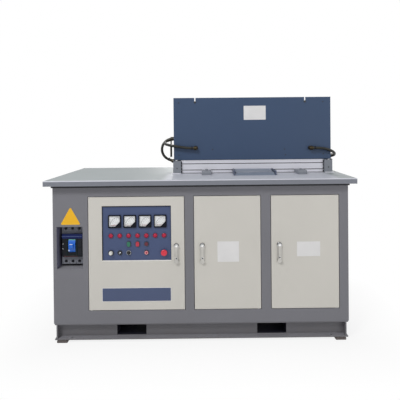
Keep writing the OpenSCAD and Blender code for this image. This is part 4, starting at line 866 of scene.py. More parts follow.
class HEATER_OT_stage(bpy.types.Operator):
    """Make the pale floor, the white surroundings and the soft lamps"""
    bl_idname = "heater.stage"
    bl_label = "Stage"

    def execute(self, context):
        world = bpy.data.worlds.new("studio")
        world.use_nodes = True
        context.scene.world = world
        tree = world.node_tree
        ground = tree.nodes["Background"]
        # The world lights the machine at less than the white that is seen
        strength = add(tree, "ShaderNodeMapRange", None, {"Value": seen_plainly(tree), "To Min": 0.42})
        link(tree, strength.outputs["Result"], ground, "Strength")
        ground.inputs["Color"].default_value = opaque("#FFFFFF")
        floor_mesh = bpy.data.meshes.new("floor")
        form = bmesh.new()
        reach = 30
        form.faces.new([form.verts.new((x * reach, y * reach, 0))
                        for x, y in ((-1, -1), (1, -1), (1, 1), (-1, 1))])
        form.to_mesh(floor_mesh)
        form.free()
        floor = bpy.data.objects.new("floor", floor_mesh)
        context.scene.collection.objects.link(floor)
        floor_mesh.materials.append(self.floor_finish())
        soft_lamp("key_lamp", (-2.2, -3.9, 4.7), (0, 0, 0.6), (1.4, 1.2), 150)
        soft_lamp("fill_lamp", (3.4, -3.8, 1.8), (0.2, 0, 0.7), (2.4, 2.4), 30)
        soft_lamp("top_lamp", (0.2, 0.3, 4.4), (0.2, 0, 1.0), (3.0, 2.4), 8)
        soft_lamp("rear_lamp", (0.6, 4.2, 2.4), (0, 0, 0.8), (2.6, 2.0), 60)
        context.scene.view_settings.view_transform = "Standard"
        return {"FINISHED"}

    def floor_finish(self):
        """Matt white floor, lifted towards pure white where it is seen, so that shadows stay faint."""
        made, tree, shader, place = new_finish("white_floor", roughness=0.9, specular_ior_level=0.0)
        sweep = noise(tree, place, 1.5, 1.0)
        tones = layered(tree, opaque("#EAEAEA"), (sweep, opaque("#EFEFEF")))
        link(tree, tones, shader, "Base Color")
        glow = add(tree, "ShaderNodeEmission", None, {"Color": opaque("#FFFFFF"), "Strength": 1.0})
        # Shadows show close to the machine, and fade out half a metre from it
        footprint = (0.95, 0.42, 0)
        apart = add(tree, "ShaderNodeVectorMath", {"operation": "ABSOLUTE"}, {0: place}).outputs[0]
        past = add(tree, "ShaderNodeVectorMath", {"operation": "SUBTRACT"}, {0: apart, 1: footprint})
        outside = add(tree, "ShaderNodeVectorMath", {"operation": "MAXIMUM"},
                      {0: past.outputs[0], 1: (0, 0, 0)})
        gap = add(tree, "ShaderNodeVectorMath", {"operation": "LENGTH"}, {0: outside.outputs[0]})
        lifted = add(tree, "ShaderNodeMapRange", None, {
            "Value": gap.outputs["Value"], "From Min": 0.02, "From Max": 0.5, "To Min": 0.85})
        share = add(tree, "ShaderNodeMath", {"operation": "MULTIPLY"},
                    {0: seen_plainly(tree), 1: lifted.outputs["Result"]}).outputs[0]
        both = add(tree, "ShaderNodeMixShader", None,
                   {0: share, 1: shader.outputs[0], 2: glow.outputs[0]})
        tree.links.new(both.outputs[0], tree.nodes["Material Output"].inputs["Surface"])
        return made


class HEATER_OT_finishes(bpy.types.Operator):
    """Paint, plate and mould every solid"""
    bl_idname = "heater.finishes"
    bl_label = "Finishes"

    def execute(self, context):
        self.paint(context.scene.heater_colours, context.scene.heater_sizes)
        self.metals(context.scene.heater_sizes)
        self.mouldings(context.scene.heater_colours)
        return {"FINISHED"}

    def paint(self, colours, sizes):
        """Enamel on the sheet steel, the blocks and the tray."""
        dress(enamel("grey_enamel", colours.cabinet, 0.42, sizes),
              "cabinet_frame", "side_panels", "rear_panel")
        # Painted shade: the plinth is the cabinet's grey made darker, as if in the shade under the
        # cabinet; its upward faces carry painted light, its edges a painted highlight, and the dust at
        # its foot is real
        dress(enamel("plinth_enamel_painted_shade_dusty", shade(colours.cabinet, 0.80), 0.5, sizes, dust=0.3,
                     edge_highlight=1.9, lit_top=shade(colours.cabinet, 1.6),
                     pockets=[size * MM for size in FORK_POCKETS]), "plinth_frame")
        dress(enamel("cream_enamel", colours.doors, 0.36, sizes, edge_highlight=1.2),
              *(door + "_door" for door in DOORS))
        bed_low, bed_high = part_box("bed_end_blocks")
        table_front, table_top = low("tabletop").y, high("tabletop").z
        # The tabletop's paler top is painted light, the zone in front of the bed a painted reflection,
        # and the front edge a painted highlight
        dress(enamel("tabletop_enamel", colours.tabletop, 0.46, sizes, edge_highlight=1.2,
                     lit_top=colours.table_surface, smear=0.01, front_edge_highlight=(table_front, table_top),
                     rubbed=(colours.rubbed, bed_low.x, bed_high.x - 90 * MM,
                             table_front, bed_low.y + 40 * MM)), "tabletop")
        dress(enamel("blue_enamel", colours.coil_panel, 0.5, sizes, edge_highlight=1.3), "coil_front_panel")
        dress(enamel("panel_blue_enamel", colours.control_panel, 0.45, sizes), "control_panel")
        dress(enamel("block_enamel", colours.blocks, 0.45, sizes), "bed_end_blocks", "bed_clamps")
        dress(enamel("tray_enamel", colours.tray, 0.4, sizes), "centre_tray")
        # Painted light: the recess's floor is drawn paler than its walls, as if lit from above
        dress(enamel("recess_enamel", linear("#74748A"), 0.5, sizes, lit_top=linear("#94949A")),
              "breaker_recess")

    def metals(self, sizes):
        """Bare, plated and cast metal, and the coil's boards and lining."""
        dress(coarse("foot_iron", "#57514F", "#6B6462", 5 * MM), "plinth_feet")
        dress(zinc_sheet(sizes), "cabinet_floor")
        dress(bright_metal("zinc_plate", "#A9ACAF", 0.35), "hinge_pins")
        dress(bright_metal("blackened_steel", "#2B2B30", 0.45), "breaker_terminals")
        dress(bright_metal("satin_chrome", "#BEBCB7", 0.45),
              *(door + part for door in DOORS for part in ("_lock_base", "_lock_lever")))
        dress(bright_metal("bright_chrome", "#C8CACC", 0.12), "mode_switch",
              *(door + "_lock_spindle" for door in DOORS))
        dress(bright_metal("aged_brass", "#453E30", 0.45), "water_fittings")
        dress(bright_metal("bare_copper", "#B26A44", 0.38, 2 * MM), "busbars")
        dress(bright_metal("mill_aluminium", "#A9ADB1", 0.42, 1 * MM, (0.2, 1, 1)),
              "capacitor_bank", "power_stack")
        dress(extruded_aluminium(sizes), "coil_bed")
        dress(coarse("varnished_core", "#5C3E28", "#6F4C30", 3 * MM, 0.5, (1, 1, 8)), "dc_reactor")
        dress(coarse("heat_board", "#C6B99F", "#D6CBB4", 8 * MM), "coil_end_plates", "coil_stay_bars")
        dress(coarse("cast_lining", "#D3CCBD", "#E2DCCF", 12 * MM, 0.85), "coil_lining")

    def mouldings(self, colours):
        """Plastics of the breaker, the meters, the lamps, the switches and the control board."""
        dress(moulded("bezel_plastic", "#3A3E4A", 0.4), "bezel_rings")
        dress(breaker_moulding(LOWER_COVER_TOP * MM, BREAKER_HEADER_FOOT * MM, UPPER_COVER_FOOT * MM),
              "breaker_case")
        dress(toggle_moulding(TOGGLE_TINT_FOOT * MM), "breaker_toggle")
        dress(moulded("black_meter_plastic", "#0B0D18", 0.45, gloss=0.15), "meter_cases")
        dress(vinyl("white_dial_card", "#F0F0F0", 0.6), "meter_dials")
        dress(window_glass(), "meter_windows")
        dress(moulded("red_needle_plastic", "#8F1A20", 0.4), *NEEDLES)
        dress(lamp_lens(colours.lamps), "lamp_lenses")
        dress(moulded("green_button_plastic", "#0F6B4F", 0.3, 0.3), "start_button")
        dress(moulded("red_button_plastic", "#B91C3C", 0.3, 0.3), "stop_button")
        dress(moulded("dark_red_button_plastic", "#5A0A26", 0.35, 0.2), "reset_button")
        dress(moulded("ringed_button_plastic", "#A52A44", 0.3, 0.3), "ring_button")
        dress(moulded("signal_red_plastic", "#D4203A", 0.32, 0.3), "emergency_stop")
        dress(moulded("white_knob_plastic", "#E4E4E0", 0.35, 0.2), "power_knob")
        dress(moulded("black_knob_plastic", "#17171A", 0.35), "selector_switch")
        dress(moulded("green_circuit_board", "#1F5A38", 0.4, 0.2), "control_board")


class HEATER_OT_hoses(bpy.types.Operator):
    """Lay the three water hoses and their clips"""
    bl_idname = "heater.hoses"
    bl_label = "Water hoses"

    def execute(self, context):
        width = context.scene.heater_sizes.hose
        black = rubber()
        for name, route in (("left_front_hose", LEFT_FRONT_ROUTE), ("left_loop_hose", LEFT_LOOP_ROUTE),
                            ("right_hose", RIGHT_ROUTE)):
            line = smooth_route(route)
            data = bpy.data.curves.new(name + "_tube", "CURVE")
            data.dimensions = "3D"
            data.bevel_depth = width / 2
            data.bevel_resolution = 5
            data.use_fill_caps = True
            thread = data.splines.new("POLY")
            thread.points.add(len(line) - 1)
            for point, spot in zip(thread.points, line):
                point.co = (*spot, 1)
            thread.use_smooth = True
            data.materials.append(black)
            hose = bpy.data.objects.new(name + "_tube", data)
            context.scene.collection.objects.link(hose)
            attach(hose, "cabinet")
            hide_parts(name)
            length = sum((b - a).length for a, b in zip(line, line[1:]))
            clips = self.clips(name + "_clips", line, width)
            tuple(line[0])
        return {"FINISHED"}

    def clips(self, name, line, width):
        """A worm-drive clip near each end of a hose: a band with its screw across it."""
        band_radius, screw_radius = width / 2 + 0.8 * MM, 3 * MM
        across = Matrix.Rotation(math.pi / 2, 4, "X")
        aside = Matrix.Translation((width / 2 + screw_radius, 0, 0)) @ across
        form = bmesh.new()
        for spot, after in ((line[0], line[3]), (line[-1], line[-4])):
            along = (after - spot).normalized()
            turn = along.to_track_quat("Z", "X").to_matrix().to_4x4()
            band = Matrix.Translation(spot + along * 0.6 * width) @ turn
            bmesh.ops.create_cone(form, cap_ends=True, segments=32, radius1=band_radius,
                                  radius2=band_radius, depth=9 * MM, matrix=band)
            bmesh.ops.create_cone(form, cap_ends=True, segments=12, radius1=screw_radius,
                                  radius2=screw_radius, depth=13 * MM, matrix=band @ aside)
        return place_piece(name, mesh_from(form, name), "cabinet",
                           finish_named("blackened_steel"))


class HEATER_OT_coil(bpy.types.Operator):
    """Wind the copper coil"""
    bl_idname = "heater.coil"
    bl_label = "Coil"

    def execute(self, context):
        box_low, box_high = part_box("coil")
        tube = 11 * MM
        turns = 23.5
        steps = 36
        radius = (box_high.z - box_low.z) / 2 - tube
        centre_y = box_low.y + tube + radius
        centre_z = (box_low.z + box_high.z) / 2
        start_x = box_low.x + tube
        end_x = box_high.x - tube
        rear = box_high.y
        # A straight tail comes in below the first turn, and another leaves above the last
        line = [Vector((start_x, rear - (rear - centre_y) * share, centre_z - radius))
                for share in (0, 0.25, 0.5, 0.75)]
        count = round(turns * steps)
        for i in range(count + 1):
            angle = math.radians(-90 - 360 * i / steps)
            line.append(Vector((start_x + (end_x - start_x) * i / count,
                                centre_y + radius * math.cos(angle),
                                centre_z + radius * math.sin(angle))))
        line += [Vector((end_x, centre_y + (rear - centre_y) * share, centre_z + radius))
                 for share in (0.25, 0.5, 0.75, 1)]
        copper = bright_metal("coil_copper", "#B5693F", 0.34, 3 * MM)
        coil = evaluated("coil_winding", line_mesh("coil_line", line),
                         tree_named("tube_along_line", tube_tree),
                         {"Radius": tube, "Sides": 16, "Finish": copper},
                         "cabinet", smooth=True)
        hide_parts("coil")
        return {"FINISHED"}


class HEATER_OT_meters(bpy.types.Operator):
    """Print the meters' scales"""
    bl_idname = "heater.meters"
    bl_label = "Meter scales"

    def execute(self, context):
        ink = moulded("black_print", "#1B1B20", 0.6)
        face = high(NEEDLES[0]).y / MM + 0.2
        # A needle's box ends 8 mm beyond its pivot
        pivots = [Vector((high(needle).x / MM - 8, face, middle(needle).z / MM)) for needle in NEEDLES]
        strokes = tree_named("scale_strokes", tick_tree)
        for name, count, radius, length, width in (
                ("meter_main_strokes", 11, 49, 5, 0.9), ("meter_small_strokes", 51, 50, 2.6, 0.45),
                ("meter_scale_arcs", 60, 51.5, 0.6, 1.5)):
            evaluated(name, points_mesh(name, pivots), strokes,
                      {"Count": count, "Radius": radius * MM, "Length": length * MM,
                       "Width": width * MM, "Finish": ink}, "control_door_leaf")
        self.figures(pivots, ink)
        return {"FINISHED"}

    def figures(self, pivots, ink):
        """The even numbers from 0 to 10 along each scale."""
        form = bmesh.new()
        ring = 40
        for number in (0, 2, 4, 6, 8, 10):
            text = bpy.data.curves.new("figure", "FONT")
            text.body = str(number)
            text.size = 7 * MM
            text.align_x = "CENTER"
            text.align_y = "CENTER"
            shape = bpy.data.objects.new("figure", text)
            bpy.context.scene.collection.objects.link(shape)
            graph = bpy.context.evaluated_depsgraph_get()
            mesh = bpy.data.meshes.new_from_object(shape.evaluated_get(graph))
            angle = math.pi * (1 - number / 20)
            for pivot in pivots:
                spot = (pivot + Vector((math.cos(angle), 0, math.sin(angle))) * ring) * MM
                copy = mesh.copy()
                copy.transform(Matrix.Translation(spot) @ Matrix.Rotation(math.pi / 2, 4, "X"))
                form.from_mesh(copy)
                bpy.data.meshes.remove(copy)
            bpy.data.objects.remove(shape)
        mesh = bpy.data.meshes.new("meter_figures")
        form.to_mesh(mesh)
        form.free()
        return place_piece("meter_figures", mesh, "control_door_leaf", ink)


class HEATER_OT_plates(bpy.types.Operator):
    """Fix the bare plates: name plate, sign plates and label plates"""
    bl_idname = "heater.plates"
    bl_label = "Bare plates"

    def execute(self, context):
        front = low("control_door").y
        pale = vinyl("pale_label_vinyl", "#DDDCDC")
        blue = enamel("name_plate_blue", linear("#455171"), 0.4, context.scene.heater_sizes)
        yellow = vinyl("yellow_plate_vinyl", "#EDB520")
        name_place = (-408.5, 302)
        self.plate("name_plate_border", (437, 88), name_place, front, 1.0,
                   "control_door_leaf", pale, 3)
        self.plate("name_plate_face", (431, 82), name_place, front - 1 * MM, 0.5,
                   "control_door_leaf", blue, 2)
        self.plate("middle_label", (136, 129), (172, 568), front, 0.5, "middle_door_leaf", pale, 2)
        self.plate("right_label", (147, 93), (680.5, 580), front, 0.5, "right_door_leaf", pale, 2)
        shield = low("coil_front_panel").y
        self.plate("coil_label", (156, 99), (384.6, 1456), shield, 0.8, "cabinet", pale, 2)
        self.triangle(low("cabinet_frame").y, yellow)
        return {"FINISHED"}

    def plate(self, name, size, centre, back, thickness, body, material, radius):
        """A plate with rounded corners: size, centre, thickness and radius in millimetres."""
        self.plate_of(name, rounded_outline(*size, radius), centre, back, thickness, body, material)

    def triangle(self, back, material):
        """A bare three-sided plate above the breaker."""
        radius, inset, steps = 6, 9, 6
        half, height, foot, middle_x = 62, 109, 748, -821.5
        # Where the arc at each corner starts, and where its middle is
        corners = ((150, inset - half, radius), (270, half - inset, radius), (30, 0, height - inset))
        # The chamfer is drawn in towards a point this far over the foot
        lift = 40
        outline = []
        for start, x, z in corners:
            for step in range(steps + 1):
                angle = math.radians(start + 120 * step / steps)
                outline.append((x + radius * math.cos(angle), z + radius * math.sin(angle) - lift))
        self.plate_of("yellow_sign_plate", outline, (middle_x, foot + lift), back, 0.8,
                      "cabinet", material)

    def plate_of(self, name, outline, centre, back, thickness, body, material):
        """A plate with the outline given, about its centre, its edge broken by 0.2 mm."""
        form = bmesh.new()
        add_plate(form, [(x * MM, z * MM) for x, z in outline], (centre[0] * MM, centre[1] * MM),
                  back, thickness * MM, 0.2 * MM)
        place_piece(name, mesh_from(form, name), body, material)


class HEATER_OT_locks(bpy.types.Operator):
    """Fit the pivot caps, the dark arcs of painted shade over them, and the key barrels of the three
    swing-handle locks
    """
    bl_idname = "heater.locks"
    bl_label = "Locks"

    def execute(self, context):
        rim = moulded("painted_shade_arc_plastic", "#242322", 0.35)
        cap = bright_metal("polished_chrome", "#F2F2F0", 0.1)
        key = bright_metal("key_barrel", "#2E3138", 0.45)
        for name in DOORS:
            lever = name + "_lever"
            x = middle(name + "_lock_lever").x / MM
            pivot = high(name + "_lock_lever").z / MM - 4
            keyhole = pivot - 78
            face, plate = low(name + "_lock_lever").y / MM, low(name + "_lock_base").y / MM
            # Painted shade: a dark arc over the top of each pivot
            turned_pieces(name + "_lock_shade_arc", [(x, pivot)],
                          [(13, plate), (13, plate - 1.6), (15.5, plate - 1.6), (16, plate)],
                          name + "_door_leaf", rim, "black_moulding", start=-15, sweep=210)
            turned_pieces(name + "_lock_cap", [(x, pivot - 1)],
                          [(0, face), (7.5, face), (7.5, face - 1), (6, face - 2.2), (3, face - 2.9),
                           (0, face - 3)], lever, cap, "lock_chrome")
            turned_pieces(name + "_key_rim", [(x, keyhole)],
                          [(5, face), (5, face - 1.2), (6, face - 1.5), (7, face - 1), (7, face)],
                          lever, cap, "lock_chrome")
            turned_pieces(name + "_key_barrel", [(x, keyhole)],
                          [(0, face), (5, face), (5, face - 0.8), (1.2, face - 0.8), (1.2, face - 0.1),
                           (0, face - 0.1)], lever, key, "lock_satin", smooth=False)
        return {"FINISHED"}


class HEATER_OT_breaker(bpy.types.Operator):
    """Fit the breaker's front: header line, toggle frame, side plates, strip and toggle marks"""
    bl_idname = "heater.breaker"
    bl_label = "Breaker front"

    def execute(self, context):
        case_low, case_high = corners_mm("breaker_case")
        left, right, face = case_low.x, case_high.x, case_low.y
        toggle_low, toggle_high = corners_mm("breaker_toggle")
        x0, x1, z0, z1 = toggle_low.x, toggle_high.x, toggle_low.z, toggle_high.z
        header_line = (664, 666.5)
        upper_plate, lower_plate = (600, 645), (548, 592)
        strip = (538, 541.5)
        screw_rows = (618, 586)
        pale = vinyl("grey_header_line", "#56648C")
        bar_pieces("breaker_header_line",
                   [((left + 6, face - 0.5, header_line[0]), (right - 6, face, header_line[1]))],
                   0.2, "cabinet", pale)
        green = moulded("dark_green_frame", "#0C2422", 0.45, gloss=0.2)
        sides = [((x0 - 6, face - 3, z0 - 6), (x0 - 1.5, face, z1 - 6)),
                 ((x1 + 1.5, face - 3, z0 - 6), (x1 + 6, face, z1 - 6)),
                 ((x0 - 6, face - 3, z0 - 10), (x1 + 6, face, z0 - 6))]
        bar_pieces("breaker_toggle_frame", sides, 0.8, "cabinet", green)
        grey = moulded("charcoal_plate", "#1A1D24", 0.45, gloss=0.2)
        plates = [((right - 30, face - 1, foot), (right - 8, face, head))
                  for foot, head in (upper_plate, lower_plate)]
        bar_pieces("breaker_side_plates", plates, 0.4, "cabinet", grey)
        red = moulded("dark_red_strip", "#4C171C", 0.4)
        bar_pieces("breaker_red_strip",
                   [((left + 20, face - 0.8, strip[0]), (right - 34, face, strip[1]))],
                   0.3, "cabinet", red)
        turned_pieces("breaker_face_screws", [(left + 14, row) for row in screw_rows],
                      [(0, face), (3.6, face), (3.2, face - 1.2), (0, face - 1.4)],
                      "cabinet", finish_named("zinc_plate"), "zinc_steel")
        self.toggle_marks(toggle_low.y, (x0 + x1) / 2)
        return {"FINISHED"}

    def toggle_marks(self, front, middle_x):
        """A bar for on and a ring for off, printed on the toggle."""
        on_mark, off_mark = (618, 622), 582
        sunk, proud = front + 0.2, front - 0.4
        white = vinyl("white_marks", "#DDE6EE")
        bar_pieces("toggle_on_mark",
                   [((middle_x - 9, proud, on_mark[0]), (middle_x + 9, sunk, on_mark[1]))],
                   0.15, "breaker_toggle_body", white)
        turned_pieces("toggle_off_mark", [(middle_x - 12, off_mark)],
                      [(3, sunk), (3, proud), (5, proud), (5, sunk)],
                      "breaker_toggle_body", white, "white_moulding", smooth=False)


class HEATER_OT_trim(bpy.types.Operator):
    """Fit the painted-shadow edging and painted-highlight sill of the control panel, rims, rings,
    strips, the painted-shadow strip under the tabletop, seals, end caps and the drip pipe's sleeve
    """
    bl_idname = "heater.trim"
    bl_label = "Trim"

    def execute(self, context):
        # Black rubber for seals and covers, also the black of the painted shadow in the panel edging
        # and under the tabletop
        black = moulded("black_rubber_and_painted_shade", "#15161B", 0.6)
        self.panel_edging(black)
        self.lamp_rims(shade(context.scene.heater_colours.lamps, 0.62))
        self.switch_rings(black)
        self.bed_trim(black)
        self.table_seal(black)
        self.drip_sleeve()
        self.tray_ends()
        self.door_seals(black)
        return {"FINISHED"}

    def panel_edging(self, black):
        """Black edging on three sides of the control panel, as painted shadow cast by the opening, and
        a pale sill below as a painted highlight.
        """
        start, end = corners_mm("control_panel")
        x0, x1, z0, z1, back = start.x + 10, end.x - 10, start.z + 10, end.z - 10, start.y
        # Painted shadow: black bars where the opening's top and sides shade the panel
        bar_pieces("panel_edging", [((x0, back - 6.5, z1 - 6), (x1, back, z1)),
                                    ((x0, back - 6.5, z0 + 5), (x0 + 3.5, back, z1 - 6)),
                                    ((x1 - 2.5, back - 6.5, z0 + 5), (x1, back, z1 - 6))],
                   0.6, "control_door_leaf", black)
        bar_pieces("panel_sill_highlight", [((x0, back - 8.6, z0), (x1, back, z0 + 4.5))], 0.8,
                   "control_door_leaf", vinyl("painted_sill_highlight", "#EFEDE8", 0.4))

    def lamp_rims(self, colour):
        """A darker rim round the foot of each lamp's lens."""
        start, end = corners_mm("lamp_lenses")
        lamps, lens_radius = 7, 11.7
        first, last = start.x + lens_radius, end.x - lens_radius
        row = (start.z + end.z) / 2
        spots = [(first + (last - first) * k / (lamps - 1), row) for k in range(lamps)]
        rim = low("bezel_rings").y / MM
        turned_pieces("lamp_rims", spots,
                      [(12, rim), (12, rim - 2), (13, rim - 2.4), (14.8, rim - 1), (15, rim)],
                      "control_door_leaf", lamp_lens(colour, "dark_red_lens_rim"), "red_lens")

    def switch_rings(self, black):
        """Rings round the switches and the knob, and the pale ring on the ring button."""
        rim = low("bezel_rings").y / MM
        chrome = finish_named("bright_chrome")
        for name, outer, finish in (("mode_switch", 14.6, black), ("selector_switch", 14.6, chrome),
                                    ("power_knob", 17.5, black)):
            turned_pieces(name + "_ring", [(middle(name).x / MM, SWITCH_ROW)],
                          [(12.2, rim), (12.2, rim - 1), (13, rim - 1.4), (outer - 0.2, rim - 0.8),
                           (outer, rim)], "control_door_leaf", finish, "lock_chrome")
        button = middle("ring_button") / MM
        face = low("ring_button").y / MM
        turned_pieces("ring_button_ring", [(button.x, button.z)],
                      [(7, face), (7, face - 0.8), (9, face - 1.3), (11, face - 0.8), (11, face)],
                      "ring_button_body", moulded("pale_ring_plastic", "#F0A9AC", 0.3, 0.3),
                      "red_moulding")

    def door_seals(self, black):
        """Foam strip round the inner face of each door."""
        inset, width, depth = 3, 8, 5
        for name in DOORS:
            start, end = corners_mm(name + "_door")
            x0, x1, z0, z1 = start.x + inset, end.x - inset, start.z + inset, end.z - inset
            back, face = end.y, end.y + depth
            bar_pieces(name + "_door_seal", [((x0, back, z1 - width), (x1, face, z1)),
                                             ((x0, back, z0), (x1, face, z0 + width)),
                                             ((x0, back, z0 + width), (x0 + width, face, z1 - width)),
                                             ((x1 - width, back, z0 + width), (x1, face, z1 - width))],
                       1, name + "_door_leaf", black)

    def drip_sleeve(self):
        """Rubber sleeve pushed over the foot of the drip pipe."""
        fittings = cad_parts["water_fittings"]
        left = low("water_fittings").x
        # The pipe is the leftmost of the fittings behind the coil's middle
        within = left + (2 * DRIP_PIPE_RADIUS + 0.5) * MM
        behind = middle("coil_end_plates").y + 40 * MM
        pipe = [v.co for v in fittings.data.vertices if v.co.x < within and v.co.y > behind]
        x = left / MM + DRIP_PIPE_RADIUS
        y = (min(v.y for v in pipe) + max(v.y for v in pipe)) / 2 / MM
        foot = min(v.z for v in pipe) / MM
        # Radius, and height over the pipe's foot
        wall = [(5.2, 46), (7.6, 46), (8, 44), (7.6, -28), (7, -30), (5, -30), (4.6, -28), (4.6, -1),
                (5.2, -0.6)]
        form = bmesh.new()
        add_turned(form, (0, 0), wall, 24)
        stand = Matrix.Translation((x * MM, y * MM, foot * MM)) @ Matrix.Rotation(math.pi / 2, 4, "X")
        bmesh.ops.transform(form, matrix=stand, verts=form.verts)
        place_piece("drip_sleeve", mesh_from(form, "drip_sleeve"), "cabinet",
                    finish_named("black_hose_rubber"), smooth=True)

    def tray_ends(self):
        """Dark end caps over the catch tray's short sides."""
        start, end = corners_mm("centre_tray")
        front, top = start.y - 1.6, end.z + 1.2
        dark = moulded("dark_cap_plastic", "#4B5266", 0.45)
        bar_pieces("tray_end_caps", [((start.x - 1.6, front, start.z), (start.x + 9, end.y, top)),
                                     ((end.x - 9, front, start.z), (end.x + 1.6, end.y, top))],
                   0.8, "cabinet", dark)

    def table_seal(self, black):
        """Black strip between the cabinet and the tabletop, all round: painted shadow under the
        tabletop's overhang.
        """
        under = low("tabletop").z / MM
        left, right = low("side_panels").x / MM, high("side_panels").x / MM
        front, rear = low("cabinet_frame").y / MM, high("rear_panel").y / MM
        top, foot, proud = under - 0.5, under - 16, 1.5
        bar_pieces("table_seal", [((left - proud, front - proud, foot), (right + proud, front, top)),
                                  ((left - proud, rear, foot), (right + proud, rear + proud, top)),
                                  ((left - proud, front, foot), (left, rear, top)),
                                  ((right, front, foot), (right + proud, rear, top))],
                   0.4, "cabinet", black)

    def bed_trim(self, black):
        """Slot covers, seals, feet, and the rail that carries the foot of the front panel."""
        start, end = corners_mm("coil_bed")
        x0, x1, front, foot, top = start.x, end.x, start.y, start.z, end.z
        height = top - foot
        covers = [((x0 + 1, front + 1, foot + share * height - 2.6),
                   (x1 - 1, front + 6, foot + share * height + 2.6)) for share in (0.265, 0.765)]
        bar_pieces("bed_slot_covers", covers, 0.4, "cabinet", black)
        seals = [((side, front - 1.6, foot + low_share * height),
                  (side + 6, front, foot + high_share * height))
                 for side in (x0 + 0.2, x1 - 6.2)
                 for low_share, high_share in ((0.02, 0.2), (0.24, 0.46), (0.5, 0.72), (0.76, 0.98))]
        bar_pieces("bed_end_seals", seals, 0.5, "cabinet", black)
        block_low, block_high = corners_mm("bed_end_blocks")
        bar_pieces("end_block_feet",
                   [((block_low.x, block_low.y - 7, foot), (x0 - 0.4, block_low.y - 0.2, foot + 6)),
                    ((x1 + 0.4, block_low.y - 7, foot), (block_high.x, block_low.y - 0.2, foot + 6))],
                   0.8, "cabinet", finish_named("anodised_extrusion"))
        bar_pieces("bed_foot_seal", [((x0 + 7, front - 1.2, foot), (x1 - 7, front, foot + 3.5))], 0.4,
                   "cabinet", black)
        shield = low("coil_front_panel").z / MM
        bar_pieces("front_panel_rail", [((x0, front + 3.2, top), (x1, front + 12, shield - 1.6))], 0.8,
                   "cabinet", finish_named("anodised_extrusion"))
        bar_pieces("front_panel_pad", [((x0, front + 0.4, shield - 1.6), (x1, front + 12, shield))],
                   0.3, "cabinet", black)


class HEATER_OT_inside(bpy.types.Operator):
    """Wind the reactor, fill the control board and fit the wiring duct"""
    bl_idname = "heater.inside"
    bl_label = "Inside"

    def execute(self, context):
        self.reactor_turns()
        self.board_parts()
        self.wiring_duct()
        return {"FINISHED"}

    def reactor_turns(self):
        """Edge-wound copper strip round the reactor's two legs."""
        start, end = corners_mm("dc_reactor")
        half_w, half_d, corner = 75, (end.y - start.y) / 2, 17.5
        yoke, turns = 82, 11
        foot = start.z + yoke
        pitch = (end.z - yoke - foot) / turns
        form = bmesh.new()
        for x in (start.x + half_w, end.x - half_w):
            for turn in range(turns):
                z = foot + pitch * turn
                loops = []
                lower, upper = z + 1, z + pitch - 1
                for proud, height in ((-1, lower), (1.4, lower), (1.4, upper), (-1, upper)):
                    outline = rounded_outline(2 * (half_w + proud), 2 * (half_d + proud),
                                              corner + proud)
                    loops.append([form.verts.new(((x + a) * MM, (start.y + half_d + b) * MM,
                                                  height * MM)) for a, b in outline])
                for first, second in zip(loops, loops[1:] + loops[:1]):
                    join_loops(form, first, second)
        place_piece("reactor_turns", mesh_from(form, "reactor_turns"), "cabinet",
                    bright_metal("winding_copper", "#A9633C", 0.36, 2 * MM))

    def board_parts(self):
        """Chips, relays, a transformer, capacitors and terminals on the control board."""
        start, end = corners_mm("control_board")
        x0, x1, z0, z1, face = start.x, end.x, start.z, end.z, start.y
        black = moulded("black_chip_plastic", "#17181B", 0.5)
        blue = moulded("blue_relay_plastic", "#1F4E8C", 0.35)
        green = moulded("green_terminal_plastic", "#2E7D4F", 0.4)
        # Each chip's place from the board's lower left corner, its width and its height
        chips = [((x0 + x, face - 4, z0 + z), (x0 + x + w, face, z0 + z + h)) for x, z, w, h in (
            (40, 150, 30, 30), (90, 160, 20, 8), (90, 140, 20, 8), (130, 160, 20, 8),
            (130, 140, 20, 8), (40, 95, 38, 14), (100, 95, 24, 10), (140, 95, 24, 10),
            (200, 60, 18, 18), (230, 60, 18, 18))]
        bar_pieces("board_chips", chips, 0.6, "cabinet", black)
        relays = [((x, face - 16, z1 - 44), (x + 28, face, z1 - 30))
                  for x in (x0 + 30 + 34 * k for k in range(5))]
        bar_pieces("board_relays", relays, 0.8, "cabinet", blue)
        terminals = [((x, face - 12, z0 + 12), (x + 11, face, z0 + 26))
                     for x in (x0 + 24 + 12 * k for k in range(22))]
        bar_pieces("board_terminals", terminals, 0.8, "cabinet", green)
        core = [((x1 - 84, face - 34, z1 - 96), (x1 - 36, face, z1 - 56)),
                ((x1 - 76, face - 40, z1 - 90), (x1 - 44, face - 34, z1 - 62))]
        bar_pieces("board_transformer", core, 1.2, "cabinet", black)
        turned_pieces("board_capacitors", [(x0 + 190 + 22 * k, z0 + 110) for k in range(4)],
                      [(0, face), (8, face), (8, face - 22), (7.2, face - 23), (0, face - 23)],
                      "cabinet", finish_named("dark_cap_plastic"), "black_moulding")

    def wiring_duct(self):
        """Slotted duct with its lid, above and below the control board."""
        start, end = corners_mm("control_board")
        left, right, wall = start.x - 40, end.x + 10, end.y
        fingers, pitch = 30, 12.4
        grey = moulded("grey_duct_plastic", "#8C9094", 0.5)
        spans = []
        for foot in (start.z - 76, end.z + 30):
            spans.append(((left, wall - 3, foot), (right, wall - 0.2, foot + 46)))
            spans.append(((left, wall - 46, foot - 1), (right, wall - 43, foot + 47)))
            for k in range(fingers):
                x = left + 2 + pitch * k
                for z in (foot + 1, foot + 43):
                    spans.append(((x, wall - 43.4, z), (x + 8, wall - 2.6, z + 2)))
        bar_pieces("wiring_duct", spans, 0.4, "cabinet", grey)


